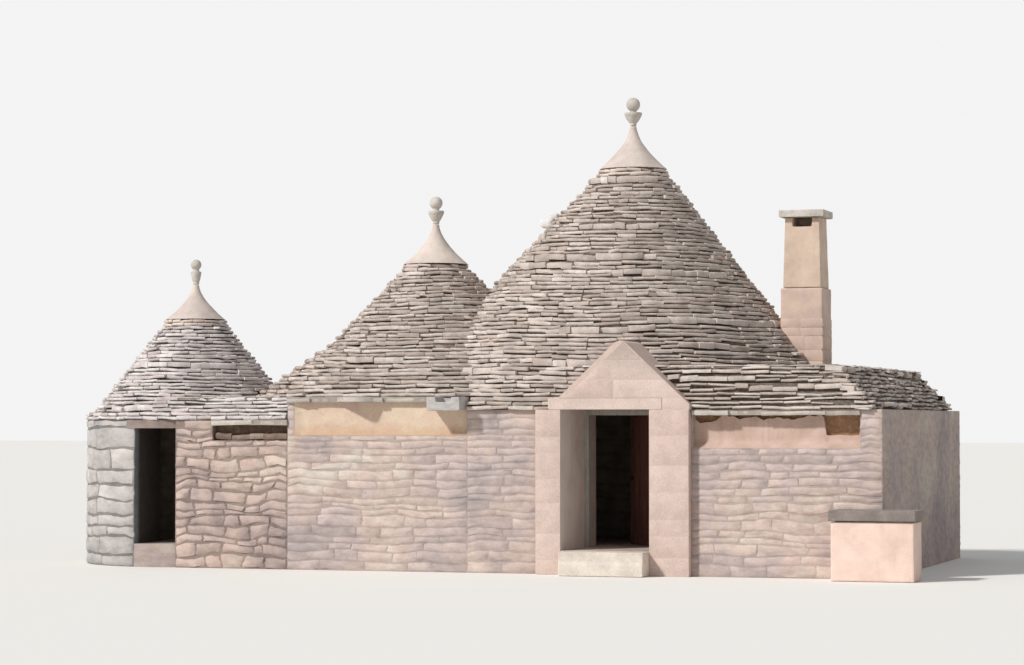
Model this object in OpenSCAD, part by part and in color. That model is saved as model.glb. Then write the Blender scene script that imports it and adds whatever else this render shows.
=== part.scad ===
// Trullo house: three joined dry-stone rooms under stepped cone roofs, with a gabled doorway.
// The origin is on the ground under the large room. X runs to the right along the facade,
// Y runs from the facade to the rear, Z is up. The facade faces -Y.

/* [Plan of the walls] */
// How far the facade lies inside the round of the large roof
front_in = 230; // [150:10:290]
// How far the rear face lies inside that round
rear_in = 230; // [60:10:290]
// Thickness of the front walls
front_wall_t = 1300; // [1200:10:1350]
// Thickness of the rear wall of the large room
rear_wall_t = 1300; // [1100:10:1400]
// Thickness of the right wall, which holds the hearth
right_wall_t = 2150; // [2100:10:2250]
// Thickness of the wall with the arch
arch_wall_t = 500; // [450:10:560]
// Radius of the large roof to the arch wall's reach from the origin
arch_wall_in = 1730; // [1690:10:1770]
// Radius of the large roof to the right wall's reach from the origin
right_wall_in = 1330; // [1270:10:1370]
// Width of the medium room
medium_room_w = 1250; // [1180:10:1300]
// Masonry between the medium room and the small block
medium_left_t = 450; // [400:10:500]
// How far the rear wall's left end lies inside the round of the large roof
rear_left_in = 230; // [160:10:260]
// How much smaller than the large roof the rear wall's rounded left corner is
rear_corner_in = 70; // [40:10:100]
// Left reach of the medium block behind, from its roof's centre
medium_reach = 1830; // [1780:10:1880]
// How much wider than the medium block's depth its rounded rear left corner is
medium_corner_out = 340; // [290:10:390]

/* [Heights] */
// Top of the floors
floor_h = 270; // [240:5:300]
// Top of the large block's walls
large_wall_h = 1840; // [1820:5:1860]
// Top of the small block's walls
small_wall_h = 1730; // [1720:5:1750]
// Thickness of the eave slabs
eave_t = 62; // [50:1:70]
// How far the eave slabs stand out from the facade
eave_out = 80; // [50:5:120]

/* [Recessed bands] */
// Depth of the medium block's band behind the facade
medium_band_depth = 40; // [20:5:80]
// Depth of the right band behind the facade
right_band_depth = 160; // [100:10:220]
// Depth of the small block's band behind the facade
small_band_depth = 90; // [50:10:150]
// Height of the medium block's band
medium_band_h = 380; // [330:5:420]
// Height of the right band
right_band_h = 365; // [320:5:400]
// Height of the small block's band
small_band_h = 180; // [140:5:220]
// Pier at the left end of the medium band
medium_pier_w = 84; // [60:2:120]
// Surround's right edge to the right band
band_margin = 20; // [15:1:40]
// Corner pier at the right end of the facade
corner_pier_w = 240; // [200:5:280]
// Length of the small block's band
small_band_w = 950; // [850:10:1050]

/* [Doorway] */
// Left jamb of the doorway
door_left = 40; // [20:5:60]
// Width of the doorway
door_w = 1030; // [1000:5:1060]
// Width of the left pier of the surround
pier_left_w = 290; // [250:5:330]
// Width of the right pier of the surround
pier_right_w = 450; // [400:5:480]
// How far the surround stands out from the facade
surround_out = 120; // [90:5:150]
// Height of the lintel
lintel_h = 130; // [110:5:150]
// Bearing of the lintel on each side
lintel_bearing = 150; // [110:5:180]
// Height of the gable above the wall top
gable_h = 770; // [720:10:810]
// Height of the upright edge at the gable's feet
gable_foot_h = 60; // [40:5:90]
// Height of the rounded top of the gable
gable_round_h = 22; // [16:1:30]
// Left edge of the surround to the left foot of the gable
gable_inset = 190; // [160:5:220]
// How far the gable's right foot stands beyond the surround
gable_overlap = 10; // [5:1:15]
// How far the gable runs back from the facade into the roof
gable_depth = 650; // [600:10:700]
// Half-width of the rounded top of the gable
gable_top_w = 60; // [40:5:80]
// How far the steps stand out from the surround
step_out = 250; // [200:10:320]
// How far the lower step stands out from the upper one
step_nosing = 15; // [5:1:30]
// Length of the steps
step_w = 980; // [900:10:1000]

/* [Door] */
// Facade to the face of the door frame
frame_setback = 800; // [700:10:860]
// Width of the frame's face
frame_w = 60; // [50:1:70]
// Depth of the frame
frame_d = 70; // [60:1:80]
// Thickness of the leaf's boards
leaf_t = 30; // [25:1:35]
// Thickness of the ledges on the leaf's inner face
ledge_t = 22; // [18:1:26]
// Height of the ledges
ledge_h = 110; // [90:5:130]
// How far the leaf laps over the frame at its free edge and top
leaf_lap = 22; // [15:1:25]
// Clearance round the moving leaf
leaf_gap = 6; // [5:1:9]
// Angle at which the leaf stands open
leaf_open = 48; // [40:1:55]
// Radius of the hinge pins
pin_r = 8; // [7:0.5:9]
// Radial clearance of the hinge pins
pin_gap = 0.5; // [0.4:0.05:0.7]
// Wall of the hinge barrels
barrel_wall = 7; // [5:0.5:8]
// Height of the hinge barrels
barrel_h = 70; // [60:5:90]
// Height of the hinge straps
strap_h = 44; // [36:2:50]
// Thickness of the hinge straps
strap_t = 6; // [5:0.5:8]
// Length of the hinge straps
strap_len = 620; // [500:10:700]
// Floor to the middle of the lower strap
low_strap_z = 230; // [200:10:280]
// Frame's head to the middle of the upper strap
high_strap_z = 300; // [250:10:350]
// Ends of the ledges to the edges of the leaf
ledge_inset = 30; // [20:2:50]
// Barrels to the edge of the leaf
barrel_gap = 4; // [3:1:8]
// How far the pins stand out of the barrels
pin_end = 10; // [6:1:14]
// Height of the pins' arms
pin_arm_h = 14; // [10:1:18]

/* [Small block] */
// Left edge of the straight facade to the small room's centre
small_offset = 1760; // [1720:10:1800]
// Outer radius of the small room's round wall
drum_r = 1300; // [1280:5:1320]
// Radius of the small room
small_room_r = 600; // [560:10:640]
// Small room's centre to the left jamb of its doorway
small_door_left = 200; // [180:5:220]
// Width of the small doorway
small_door_w = 540; // [500:5:560]
// Thickness of the lintel of the small doorway
small_lintel_h = 100; // [90:5:120]
// Bearing of the lintel of the small doorway
small_lintel_bearing = 110; // [80:5:140]

/* [Arch and hearth] */
// Width of the arch
arch_w = 800; // [700:10:860]
// Height at which the arch springs
arch_spring = 1250; // [1200:10:1300]
// Width of the hearth niche
hearth_w = 1000; // [900:10:1100]
// Depth of the hearth niche
hearth_d = 950; // [930:10:990]
// Height of the top of the hearth niche
hearth_top = 1350; // [1250:10:1400]

/* [Large roof] */
// Radius of the lowest course
large_r = 2830; // [2790:5:2860]
// Radius of the top course
large_top_r = 440; // [425:5:460]
// Height of a course
large_course = 97; // [94:0.5:99]
// Origin to the centre of the lowest course, to the left
large_shift = 100; // [80:5:120]
// Lean of the cone to the right over its height
large_lean = 230; // [180:10:260]
// Front overhang of the lowest course
large_eave_out = 70; // [60:5:90]
// Setback of each course along the straight eaves
eave_setback = 45; // [42:1:48]
// Right wall face to the right edge of the shoulder's lowest course
shoulder_in = 90; // [60:5:120]
// Setback of each course at the right edge of the shoulder
shoulder_setback = 90; // [80:2:100]
// Inset of the domes from the walls of their rooms
dome_inset = 60; // [50:5:80]
// Height of the large dome above the wall top
large_dome_h = 2260; // [2200:10:2300]
// Radius of the large dome at its top
large_dome_top_r = 150; // [120:10:180]

/* [Medium roof] */
// Radius of the lowest course
medium_r = 1880; // [1860:5:1900]
// Radius of the top course
medium_top_r = 420; // [405:5:440]
// Height of a course
medium_course = 95; // [93:0.5:96]
// Arch wall's large room face to the roof's centre
medium_roof_off = 1070; // [1055:5:1085]
// Facade to the roof's centre
medium_depth = 1940; // [1920:5:1960]
// How far the lowest course's straight eave stands out from the facade
medium_eave_out = 20; // [10:2:40]
// Corner radius of the lowest course, beyond the cone's own radius
medium_corner = 290; // [270:5:310]
// Height of the medium dome above its wall top
medium_dome_h = 1060; // [1000:10:1080]
// Radius of the medium dome at its top
medium_dome_top_r = 90; // [70:5:110]
// Thickness of the medium dome's masonry inside the large roof
medium_dome_t = 200; // [150:10:230]

/* [Small roof] */
// Height of a course
small_course = 87; // [85:1:89]
// Radius of the eave course
small_eave_r = 1335; // [1325:5:1350]
// Radius of the cone where it starts, above the eave course
small_r = 1210; // [1190:5:1230]
// Radius of the top course
small_top_r = 390; // [375:5:405]
// Front overhang of the lowest course
small_eave_out = 35; // [25:5:45]
// Setback of each course along the straight eave
small_eave_setback = 70; // [60:5:80]
// Height of the small dome above its wall top
small_dome_h = 870; // [820:10:900]
// Radius of the small dome at its top
small_dome_top_r = 80; // [60:5:100]

/* [Caps and finials] */
// Height of the large cap
large_cap_h = 540; // [500:10:580]
// Height of the medium cap
medium_cap_h = 500; // [460:10:540]
// Height of the small cap
small_cap_h = 434; // [400:10:460]
// How much narrower a cap's foot is than the course under it
cap_inset = 12; // [6:1:20]
// Radius of the caps at their tips
cap_tip_r = 42; // [36:1:48]
// Radius of the large finial's ball
large_ball_r = 85; // [76:1:92]
// Radius of the medium finial's ball
medium_ball_r = 80; // [72:1:88]
// Radius of the small finial's ball
small_ball_r = 66; // [60:1:74]
// Radius of the large finial's goblet at its rim
large_goblet_r = 108; // [96:1:116]
// Radius of the medium finial's goblet at its rim
medium_goblet_r = 98; // [86:1:106]
// Radius of the small finial's goblet at its rim
small_goblet_r = 66; // [58:1:76]
// Cap to the foot of a goblet
stem_h = 30; // [20:2:50]
// Height of the goblets
goblet_h = 130; // [110:5:150]
// Height of the upright rim of a goblet
goblet_rim_h = 28; // [20:1:36]
// Goblet to the foot of the ball
ball_neck_h = 30; // [20:2:50]

/* [Chimney] */
// Radius of the large roof to the chimney's reach from the origin
chimney_in = 575; // [550:5:600]
// Width of the chimney's lower part
chimney_base_w = 510; // [490:5:530]
// Height of the chimney's lower part above the low courses of the roof
chimney_base_h = 960; // [900:10:1020]
// Width of the shaft at its foot
shaft_foot_w = 460; // [445:5:475]
// Width of the shaft at its top
shaft_top_w = 416; // [400:4:430]
// Height of the shaft
shaft_h = 835; // [780:5:880]
// Width of the flue
flue_w = 230; // [210:5:250]
// Height of the smoke vent in the shaft's front face
vent_h = 110; // [90:5:130]
// Width of the cap slab
chimney_cap_w = 545; // [520:5:580]
// Thickness of the cap slab
chimney_cap_t = 88; // [70:2:100]

/* [Spout stone] */
// Width of the stone
spout_w = 400; // [340:10:440]
// Height of the stone
spout_h = 165; // [140:5:190]
// How far the stone stands out from the facade
spout_out = 260; // [200:10:300]
// Width of its groove
spout_groove_w = 180; // [140:10:220]
// Depth of its groove
spout_groove_h = 60; // [40:5:80]

/* [Bench] */
// Left end of the bench to the facade's right end
bench_in = 500; // [450:10:550]
// Length of the bench
bench_len = 950; // [850:10:1050]
// Depth of the bench
bench_d = 500; // [440:10:560]
// Height of the bench
bench_h = 760; // [700:10:800]
// Thickness of the bench's slab
bench_slab_t = 120; // [90:5:140]
// How far the slab stands out from the body
bench_lip = 25; // [10:5:40]

/* [Hidden] */

// Facets of the wide rings and of the small turned pieces
ring_fn = 256;
small_fn = 96;
hinge_fn = 48;
// Overshoot of a cutting solid
cut = 10;
// Powers of the curves of the domes, of the caps and of the goblets
dome_power = 1.7;
cap_power = 1.65;
goblet_power = 0.75;
// How much thinner a finial's neck is than the cap's tip
neck_inset = 2;
// Share of a ball's radius that lies between its foot and its centre
ball_seat = 0.8;

// Plan of the large block, which follows the round of its roof
front_to_axis = large_r - front_in;
rear_to_axis = large_r - rear_in;
room_left = large_r - arch_wall_in;
room_right = large_r - right_wall_in;
rear_left_reach = large_r - rear_left_in;
rear_corner_r = large_r - rear_corner_in;
chimney_x = large_r - chimney_in;
medium_x = room_left + medium_roof_off;

// Lines of the plan across the facade
x_arch = -room_left;
x_medium_right = x_arch - arch_wall_t;
x_medium_left = x_medium_right - medium_room_w;
x_small = x_medium_left - medium_left_t;
x_drum = x_small - small_offset;
x_end = room_right + right_wall_t;
x_door_right = door_left + door_w;
x_band = x_door_right + pier_right_w + band_margin;
x_small_door = x_drum - small_door_left;
x_small_jamb = x_small_door + small_door_w;
x_large_roof = -large_shift;
x_large_left = x_large_roof - rear_left_reach;
x_medium_roof = -medium_x;
x_rear_medium = x_medium_roof - medium_reach;
bench_x = x_end - bench_in;

// Lines of the plan from the facade to the rear
y_front = -front_to_axis;
y_inner = y_front + front_wall_t;
y_drum = y_front + drum_r;
y_middle = y_front + 2 * drum_r;
y_rear = rear_to_axis;
y_rear_inner = y_rear - rear_wall_t;
y_surround = y_front - surround_out;
y_medium_roof = y_front + medium_depth;
y_frame = y_front + frame_setback;
medium_corner_r = y_rear_inner - y_medium_roof + medium_corner_out;

// Rooms
large_room_x = (room_right - room_left) / 2;
large_room_half = min(room_left + room_right, y_rear_inner - y_inner) / 2;
large_room_y = (y_inner + y_rear_inner) / 2;
medium_room_x = (x_medium_left + x_medium_right) / 2;
medium_room_y = (y_inner + y_middle) / 2;

// Low courses of the small roof, which run on to the medium block
small_base_courses = 3;
// Top of the medium block's walls and eave slabs, level with those courses
medium_wall_h = small_wall_h + small_base_courses * small_course;

// Heights of the bands and lintels
right_band_top = large_wall_h - eave_t;
medium_band_top = medium_wall_h - eave_t;
small_band_top = small_wall_h - eave_t;
small_door_h = small_wall_h - small_lintel_h;

// Large roof
large_courses = 30;
large_base_courses = 5;
large_lower_courses = 8;
large_middle_courses = 8;
large_step = (large_r - large_top_r) / (large_courses - 1);
large_roof_top = large_wall_h + large_courses * large_course;
function large_radius(k) = large_r - k * large_step;
function large_z(k) = large_wall_h + k * large_course;
function large_x(k) = x_large_roof + large_lean * k / (large_courses - 1);

// Medium roof
medium_courses = 17;
medium_lower_courses = 9;
medium_round_courses = 6;
medium_step = (medium_r - medium_top_r) / (medium_courses - 1);
medium_roof_top = medium_wall_h + medium_courses * medium_course;
function medium_radius(k) = medium_r - k * medium_step;
function medium_z(k) = medium_wall_h + k * medium_course;
function medium_squareness(k) = 1 - k / medium_round_courses;
function medium_half(k) = medium_radius(k)
    + (medium_depth + medium_eave_out - medium_r) * medium_squareness(k);

// Small roof
small_courses = 14;
small_step = (small_r - small_top_r) / (small_courses - 2);
small_roof_top = small_wall_h + small_courses * small_course;
function small_radius(k) = k == 0 ? small_eave_r : small_r - (k - 1) * small_step;
function small_z(k) = small_wall_h + k * small_course;

// Chimney
chimney_z = large_z(large_base_courses);
shaft_z = chimney_z + chimney_base_h;
shaft_top = shaft_z + shaft_h;
vent_sill = shaft_top - vent_h;

// Gable
gable_left = door_left - pier_left_w + gable_inset;
gable_right = x_door_right + pier_right_w + gable_overlap;
gable_mid = (gable_left + gable_right) / 2;

// Door
frame_left = door_left + frame_w;
frame_right = x_door_right - frame_w;
frame_rear = y_frame + frame_d;
head_under = large_wall_h - frame_w;
barrel_r = pin_r + pin_gap + barrel_wall;
// The hinge axis stands clear of the leaf's edge and behind its boards
hinge_x = x_door_right - barrel_r - leaf_gap;
hinge_y = frame_rear + leaf_gap + leaf_t + barrel_r;
leaf_edge = barrel_r + barrel_gap;
leaf_w = hinge_x - leaf_edge - (frame_left - leaf_lap);
leaf_bottom = floor_h + leaf_gap;
leaf_top = head_under + leaf_lap;
leaf_face = -(barrel_r + leaf_t);
hinge_z = [floor_h + low_strap_z, head_under - high_strap_z];
arch_y = (y_inner + y_middle) / 2;

module block(x0, x1, y0, y1, z0, z1) {
    translate([x0, y0, z0]) cube([x1 - x0, y1 - y0, z1 - z0]);
}

module disc(x, y, z, r, h, fn = ring_fn) {
    translate([x, y, z]) cylinder(h = h, r = r, $fn = fn);
}

// A corbelled dome's hollow: an ogive from the foot radius to a small flat top
module dome_hollow(x, y, z, foot_r, top_r, h, steps = 8) {
    function r_at(t) = foot_r + (top_r - foot_r) * pow(t, dome_power);
    outline = [for (i = [0 : steps]) [r_at(i / steps), h * i / steps]];
    translate([x, y, z])
        rotate_extrude($fn = ring_fn)
            polygon(concat([[0, 0]], outline, [[0, h]]));
}

module large_dome() {
    dome_hollow(large_room_x, large_room_y, large_wall_h,
        large_room_half - dome_inset, large_dome_top_r, large_dome_h);
}

// The medium dome, or with t its masonry too
module medium_dome(t = 0) {
    dome_hollow(medium_room_x, medium_room_y, medium_wall_h,
        min(medium_room_w, y_middle - y_inner) / 2 - dome_inset + t, medium_dome_top_r + t,
        medium_dome_h + t);
}

module small_dome() {
    dome_hollow(x_drum, y_drum, small_wall_h,
        small_room_r - dome_inset, small_dome_top_r, small_dome_h);
}

// One course of the large roof: a disc cut straight along the eaves, with the chimney's shoulder
module large_course_at(k) {
    half = front_to_axis + large_eave_out - eave_setback * k;
    if (k < large_base_courses) {
        intersection() {
            disc(large_x(k), 0, large_z(k), large_radius(k), large_course);
            block(-3 * large_r, 3 * large_r, -half, half, large_z(k), large_z(k + 1));
        }
        block(large_x(k), x_end - shoulder_in - shoulder_setback * k, -half, half,
            large_z(k), large_z(k + 1));
    } else {
        disc(large_x(k), 0, large_z(k), large_radius(k), large_course);
    }
}

module large_courses_between(first, last) {
    for (k = [first : last]) large_course_at(k);
}

// One course of the medium roof: a square with round corners that turns into a disc
module medium_course_at(k) {
    if (k < medium_round_courses) {
        corner = medium_radius(k) + medium_corner * medium_squareness(k);
        half = medium_half(k);
        intersection() {
            disc(x_medium_roof, y_medium_roof, medium_z(k), corner, medium_course);
            block(x_medium_roof - half, x_medium_roof + half,
                y_medium_roof - half, y_medium_roof + half, medium_z(k), medium_z(k + 1));
        }
    } else {
        disc(x_medium_roof, y_medium_roof, medium_z(k), medium_radius(k), medium_course);
    }
}

// The large roof where it meets a stretch of the medium one, less the medium dome's masonry
module large_roof_over(z0, z1) {
    first = max(0, floor((z0 - large_wall_h) / large_course));
    last = min(large_courses - 1, ceil((z1 - large_wall_h) / large_course) - 1);
    difference() {
        large_courses_between(first, last);
        medium_dome(medium_dome_t);
    }
}

module gable_outline() {
    foot_z = large_wall_h + gable_foot_h;
    top_z = large_wall_h + gable_h;
    shoulder_z = top_z - gable_round_h;
    polygon([
        [gable_left, large_wall_h], [gable_left, foot_z],
        [gable_mid - gable_top_w, shoulder_z], [gable_mid, top_z],
        [gable_mid + gable_top_w, shoulder_z],
        [gable_right, foot_z], [gable_right, large_wall_h]
    ]);
}

module gable_solid() {
    translate([0, y_front + gable_depth, 0])
        rotate([90, 0, 0])
            linear_extrude(height = gable_depth + surround_out) gable_outline();
}

module lintel_solid() {
    block(door_left - lintel_bearing, x_door_right + lintel_bearing, y_surround, y_inner,
        large_wall_h, large_wall_h + lintel_h);
}

module chimney_footprint(w, z0, z1) {
    block(chimney_x - w / 2, chimney_x + w / 2, -w / 2, w / 2, z0, z1);
}

module flue(z0, z1) {
    chimney_footprint(flue_w, z0, z1);
}

module small_room(z0, z1) {
    disc(x_drum, y_drum, z0, small_room_r, z1 - z0);
}

module floor_large() {
    color("#b9ab98") {
        block(-room_left, room_right, y_inner, y_rear_inner, 0, floor_h);
        block(door_left, x_door_right, y_front, y_inner, 0, floor_h);
        block(room_right, room_right + hearth_d, -hearth_w / 2, hearth_w / 2, 0, floor_h);
    }
}

module floor_medium() {
    color("#b9ab98") {
        block(x_medium_left, x_medium_right, y_inner, y_middle, 0, floor_h);
        block(x_medium_right, x_arch, arch_y - arch_w / 2, arch_y + arch_w / 2, 0, floor_h);
    }
}

module floor_small() {
    color("#b9ab98") {
        small_room(0, floor_h);
        intersection() {
            block(x_small_door, x_small_jamb, y_drum - drum_r, y_drum, 0, floor_h);
            disc(x_drum, y_drum, 0, drum_r, floor_h);
        }
    }
}

module door_steps() {
    step_x = x_door_right - step_w;
    color("#e9dccb") {
        block(step_x, x_door_right, y_surround - step_out - step_nosing, y_surround, 0, floor_h / 2);
        block(step_x, x_door_right, y_surround - step_out, y_surround, floor_h / 2, floor_h);
        block(door_left, x_door_right, y_surround, y_front, 0, floor_h);
    }
}

module front_wall_left() {
    color("#d9bfae") block(x_arch, door_left, y_front, y_inner, 0, large_wall_h);
}

module front_wall_right() {
    color("#d9bfae") difference() {
        block(x_door_right, x_end, y_front, y_inner, 0, large_wall_h);
        block(x_band, x_end - corner_pier_w, y_front - cut, y_inner + cut,
            right_band_top - right_band_h, large_wall_h + cut);
    }
}

module right_wall() {
    color("#d9bfae") difference() {
        block(room_right, x_end, y_inner, y_rear_inner, 0, large_wall_h);
        block(room_right - cut, room_right + hearth_d, -hearth_w / 2, hearth_w / 2, -cut, hearth_top);
        flue(hearth_top - cut, large_wall_h + cut);
    }
}

module rear_wall() {
    color("#d9bfae") union() {
        block(x_large_roof, x_end, y_rear_inner, y_rear, 0, large_wall_h);
        intersection() {
            block(x_large_left, x_large_roof, y_rear_inner, y_rear, 0, large_wall_h);
            disc(x_large_roof, 0, 0, rear_corner_r, large_wall_h);
        }
    }
}

module arch_wall() {
    color("#d9bfae") difference() {
        block(x_medium_right, x_arch, y_inner, y_rear_inner, 0, medium_wall_h);
        block(x_medium_right - cut, x_arch + cut, arch_y - arch_w / 2, arch_y + arch_w / 2,
            -cut, arch_spring);
        translate([x_medium_right - cut, arch_y, arch_spring]) rotate([0, 90, 0])
            cylinder(h = arch_wall_t + 2 * cut, r = arch_w / 2, $fn = small_fn);
    }
}

module front_wall_medium() {
    color("#d9bfae") {
        block(x_small, x_arch, y_front, y_inner, 0, medium_band_top - medium_band_h);
        block(x_small, x_small + medium_pier_w, y_front, y_inner,
            medium_band_top - medium_band_h, medium_band_top);
    }
}

module rear_wall_medium() {
    color("#d9bfae") intersection() {
        block(x_rear_medium, x_medium_right, y_middle, y_rear_inner, 0, medium_wall_h);
        disc(x_medium_roof, y_medium_roof, 0, medium_corner_r, medium_wall_h);
    }
}

// A quarter of the small room's round wall
module drum_part(x0, x1, y0, y1) {
    difference() {
        intersection() {
            disc(x_drum, y_drum, 0, drum_r, small_wall_h);
            block(x0, x1, y0, y1, 0, small_wall_h);
        }
        small_room(-cut, small_wall_h + cut);
    }
}

// The lintel of the small doorway bears on the walls at both sides
module small_lintel_block(z_top) {
    intersection() {
        block(x_small_door - small_lintel_bearing, x_small_jamb + small_lintel_bearing,
            y_drum - drum_r, y_drum, small_door_h, z_top);
        disc(x_drum, y_drum, small_door_h, drum_r, z_top - small_door_h);
    }
}

module small_wall_front_left() {
    color("#cfc3b6") difference() {
        drum_part(x_drum - drum_r - cut, x_small_door, y_drum - drum_r - cut, y_drum);
        small_lintel_block(small_wall_h + cut);
    }
}

module small_wall_rear_left() {
    color("#cfc3b6") drum_part(x_drum - drum_r - cut, x_drum, y_drum, y_drum + drum_r + cut);
}

module small_wall_front_right() {
    color("#d9bfae") difference() {
        block(x_small_jamb, x_small, y_front, y_drum, 0, small_wall_h);
        small_room(-cut, small_wall_h + cut);
        small_lintel_block(small_wall_h + cut);
        block(x_small - small_band_w, x_small + cut, y_front - cut, y_drum + cut,
            small_band_top - small_band_h, small_wall_h + cut);
    }
}

module small_wall_rear_right() {
    color("#d9bfae") {
        difference() {
            block(x_drum, x_small, y_drum, y_middle, 0, small_wall_h);
            small_room(-cut, small_wall_h + cut);
        }
        block(x_small, x_medium_left, y_inner, y_middle, 0, medium_wall_h);
    }
}

module small_door_lintel() {
    color("#cfc3b6") difference() {
        small_lintel_block(small_wall_h);
        small_room(-cut, small_wall_h + cut);
    }
}

module spout_block() {
    block(x_arch - spout_w, x_arch, y_front - spout_out, y_inner,
        medium_wall_h - spout_h, medium_wall_h);
}

module plaster_bands() {
    color("#e8c9a8") {
        difference() {
            block(x_small + medium_pier_w, x_arch, y_front + medium_band_depth, y_inner,
                medium_band_top - medium_band_h, medium_band_top);
            spout_block();
        }
        block(x_band, x_end - corner_pier_w, y_front + right_band_depth, y_inner,
            right_band_top - right_band_h, right_band_top);
        block(x_small - small_band_w, x_small, y_front + small_band_depth, y_drum,
            small_band_top - small_band_h, small_band_top);
    }
}

module eave_slabs() {
    color("#bdb2a6") {
        block(x_small, x_arch - spout_w, y_front - eave_out, y_inner, medium_band_top, medium_wall_h);
        block(x_band, x_end - corner_pier_w, y_front - eave_out, y_inner,
            right_band_top, large_wall_h);
        block(x_small - small_band_w, x_small, y_front - eave_out, y_drum,
            small_band_top, small_wall_h);
    }
}

module spout_stone() {
    color("#c9c4bb") difference() {
        spout_block();
        block(x_arch - (spout_w + spout_groove_w) / 2, x_arch - (spout_w - spout_groove_w) / 2,
            y_front - spout_out - cut, y_front, medium_wall_h - spout_groove_h, medium_wall_h + cut);
    }
}

module roof_large_base() {
    color("#b3a89d") difference() {
        large_courses_between(0, large_base_courses - 1);
        block(x_large_roof - 2 * large_r, x_arch, -2 * large_r, y_rear_inner,
            large_wall_h - cut, medium_wall_h);
        large_dome();
        medium_dome(medium_dome_t);
        lintel_solid();
        gable_solid();
        chimney_footprint(chimney_base_w, large_wall_h - cut, chimney_z + cut);
    }
}

module roof_large_lower() {
    color("#b3a89d") difference() {
        large_courses_between(large_base_courses, large_base_courses + large_lower_courses - 1);
        large_dome();
        medium_dome(medium_dome_t);
        gable_solid();
        chimney_footprint(chimney_base_w, chimney_z - cut, shaft_z);
    }
}

module roof_large_middle() {
    first = large_base_courses + large_lower_courses;
    color("#b3a89d") difference() {
        large_courses_between(first, first + large_middle_courses - 1);
        large_dome();
    }
}

module roof_large_upper() {
    color("#b3a89d") difference() {
        large_courses_between(large_base_courses + large_lower_courses + large_middle_courses,
            large_courses - 1);
        large_dome();
    }
}

module roof_medium_lower() {
    color("#b3a89d") difference() {
        for (k = [0 : medium_lower_courses - 1]) medium_course_at(k);
        large_roof_over(medium_wall_h, medium_z(medium_lower_courses));
        medium_dome();
    }
}

module roof_medium_upper() {
    color("#b3a89d") difference() {
        for (k = [medium_lower_courses : medium_courses - 1]) medium_course_at(k);
        large_roof_over(medium_z(medium_lower_courses), medium_roof_top);
        medium_dome();
    }
}

// One course of the small roof: the low ones run on to the medium block behind a straight eave
module small_course_at(k) {
    disc(x_drum, y_drum, small_z(k), small_radius(k), small_course);
    if (k < small_base_courses)
        block(x_drum, x_small, y_front - small_eave_out + small_eave_setback * k, y_middle,
            small_z(k), small_z(k + 1));
}

module roof_small_base() {
    color("#aaa8a5") difference() {
        for (k = [0 : small_base_courses - 1]) small_course_at(k);
        small_dome();
    }
}

module roof_small_upper() {
    color("#aaa8a5") difference() {
        for (k = [small_base_courses : small_courses - 1]) small_course_at(k);
        for (k = [0 : 1]) medium_course_at(k);
        small_dome();
    }
}

// A plaster cap: a hollow-sided cone turned from a power curve
module cap(x, y, z, foot_r, h) {
    steps = 9;
    function r_at(t) = cap_tip_r + (foot_r - cap_tip_r) * pow(1 - t, cap_power);
    color("#efe3cb") translate([x, y, z])
        rotate_extrude($fn = small_fn)
            polygon(concat([[0, 0]], [for (i = [0 : steps]) [r_at(i / steps), h * i / steps]],
                [[0, h]]));
}

// A goblet turned from a power curve, which widens from the neck to an upright rim
module goblet(foot_r, rim_r) {
    steps = 6;
    curve_h = goblet_h - goblet_rim_h;
    function r_at(t) = foot_r + (rim_r - foot_r) * pow(t, goblet_power);
    rotate_extrude($fn = small_fn)
        polygon(concat([[0, 0]], [for (i = [0 : steps]) [r_at(i / steps), curve_h * i / steps]],
            [[rim_r, goblet_h], [0, goblet_h]]));
}

// A finial: a neck, a goblet and a ball
module finial(x, y, z, ball_r, goblet_r) {
    neck_r = cap_tip_r - neck_inset;
    ball_z = stem_h + goblet_h + ball_neck_h + ball_r * ball_seat;
    color("#c8c2b4") translate([x, y, z]) {
        cylinder(h = ball_z, r = neck_r, $fn = small_fn);
        translate([0, 0, stem_h]) goblet(neck_r, goblet_r);
        translate([0, 0, ball_z]) sphere(r = ball_r, $fn = small_fn);
    }
}

module cap_large() {
    cap(large_x(large_courses - 1), 0, large_roof_top, large_top_r - cap_inset, large_cap_h);
}

module finial_large() {
    finial(large_x(large_courses - 1), 0, large_roof_top + large_cap_h,
        large_ball_r, large_goblet_r);
}

module cap_medium() {
    cap(x_medium_roof, y_medium_roof, medium_roof_top, medium_top_r - cap_inset, medium_cap_h);
}

module finial_medium() {
    finial(x_medium_roof, y_medium_roof, medium_roof_top + medium_cap_h,
        medium_ball_r, medium_goblet_r);
}

module cap_small() {
    cap(x_drum, y_drum, small_roof_top, small_top_r - cap_inset, small_cap_h);
}

module finial_small() {
    finial(x_drum, y_drum, small_roof_top + small_cap_h, small_ball_r, small_goblet_r);
}

module chimney_base() {
    color("#dcc0ae") difference() {
        chimney_footprint(chimney_base_w, large_wall_h, shaft_z);
        flue(large_wall_h - cut, shaft_z + cut);
    }
}

module shaft_outline() {
    polygon([
        [-shaft_foot_w / 2, 0], [shaft_foot_w / 2, 0],
        [shaft_top_w / 2, shaft_h], [-shaft_top_w / 2, shaft_h]
    ]);
}

module chimney_shaft() {
    color("#e6cdb9") difference() {
        translate([chimney_x, 0, shaft_z]) intersection() {
            translate([0, shaft_foot_w, 0]) rotate([90, 0, 0])
                linear_extrude(height = 2 * shaft_foot_w) shaft_outline();
            translate([-shaft_foot_w, 0, 0]) rotate([90, 0, 90])
                linear_extrude(height = 2 * shaft_foot_w) shaft_outline();
        }
        flue(shaft_z - cut, shaft_top + cut);
        block(chimney_x - flue_w / 2, chimney_x + flue_w / 2, -shaft_foot_w, 0,
            vent_sill, shaft_top + cut);
    }
}

module chimney_cap() {
    color("#cdbfae") chimney_footprint(chimney_cap_w, shaft_top, shaft_top + chimney_cap_t);
}

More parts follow.
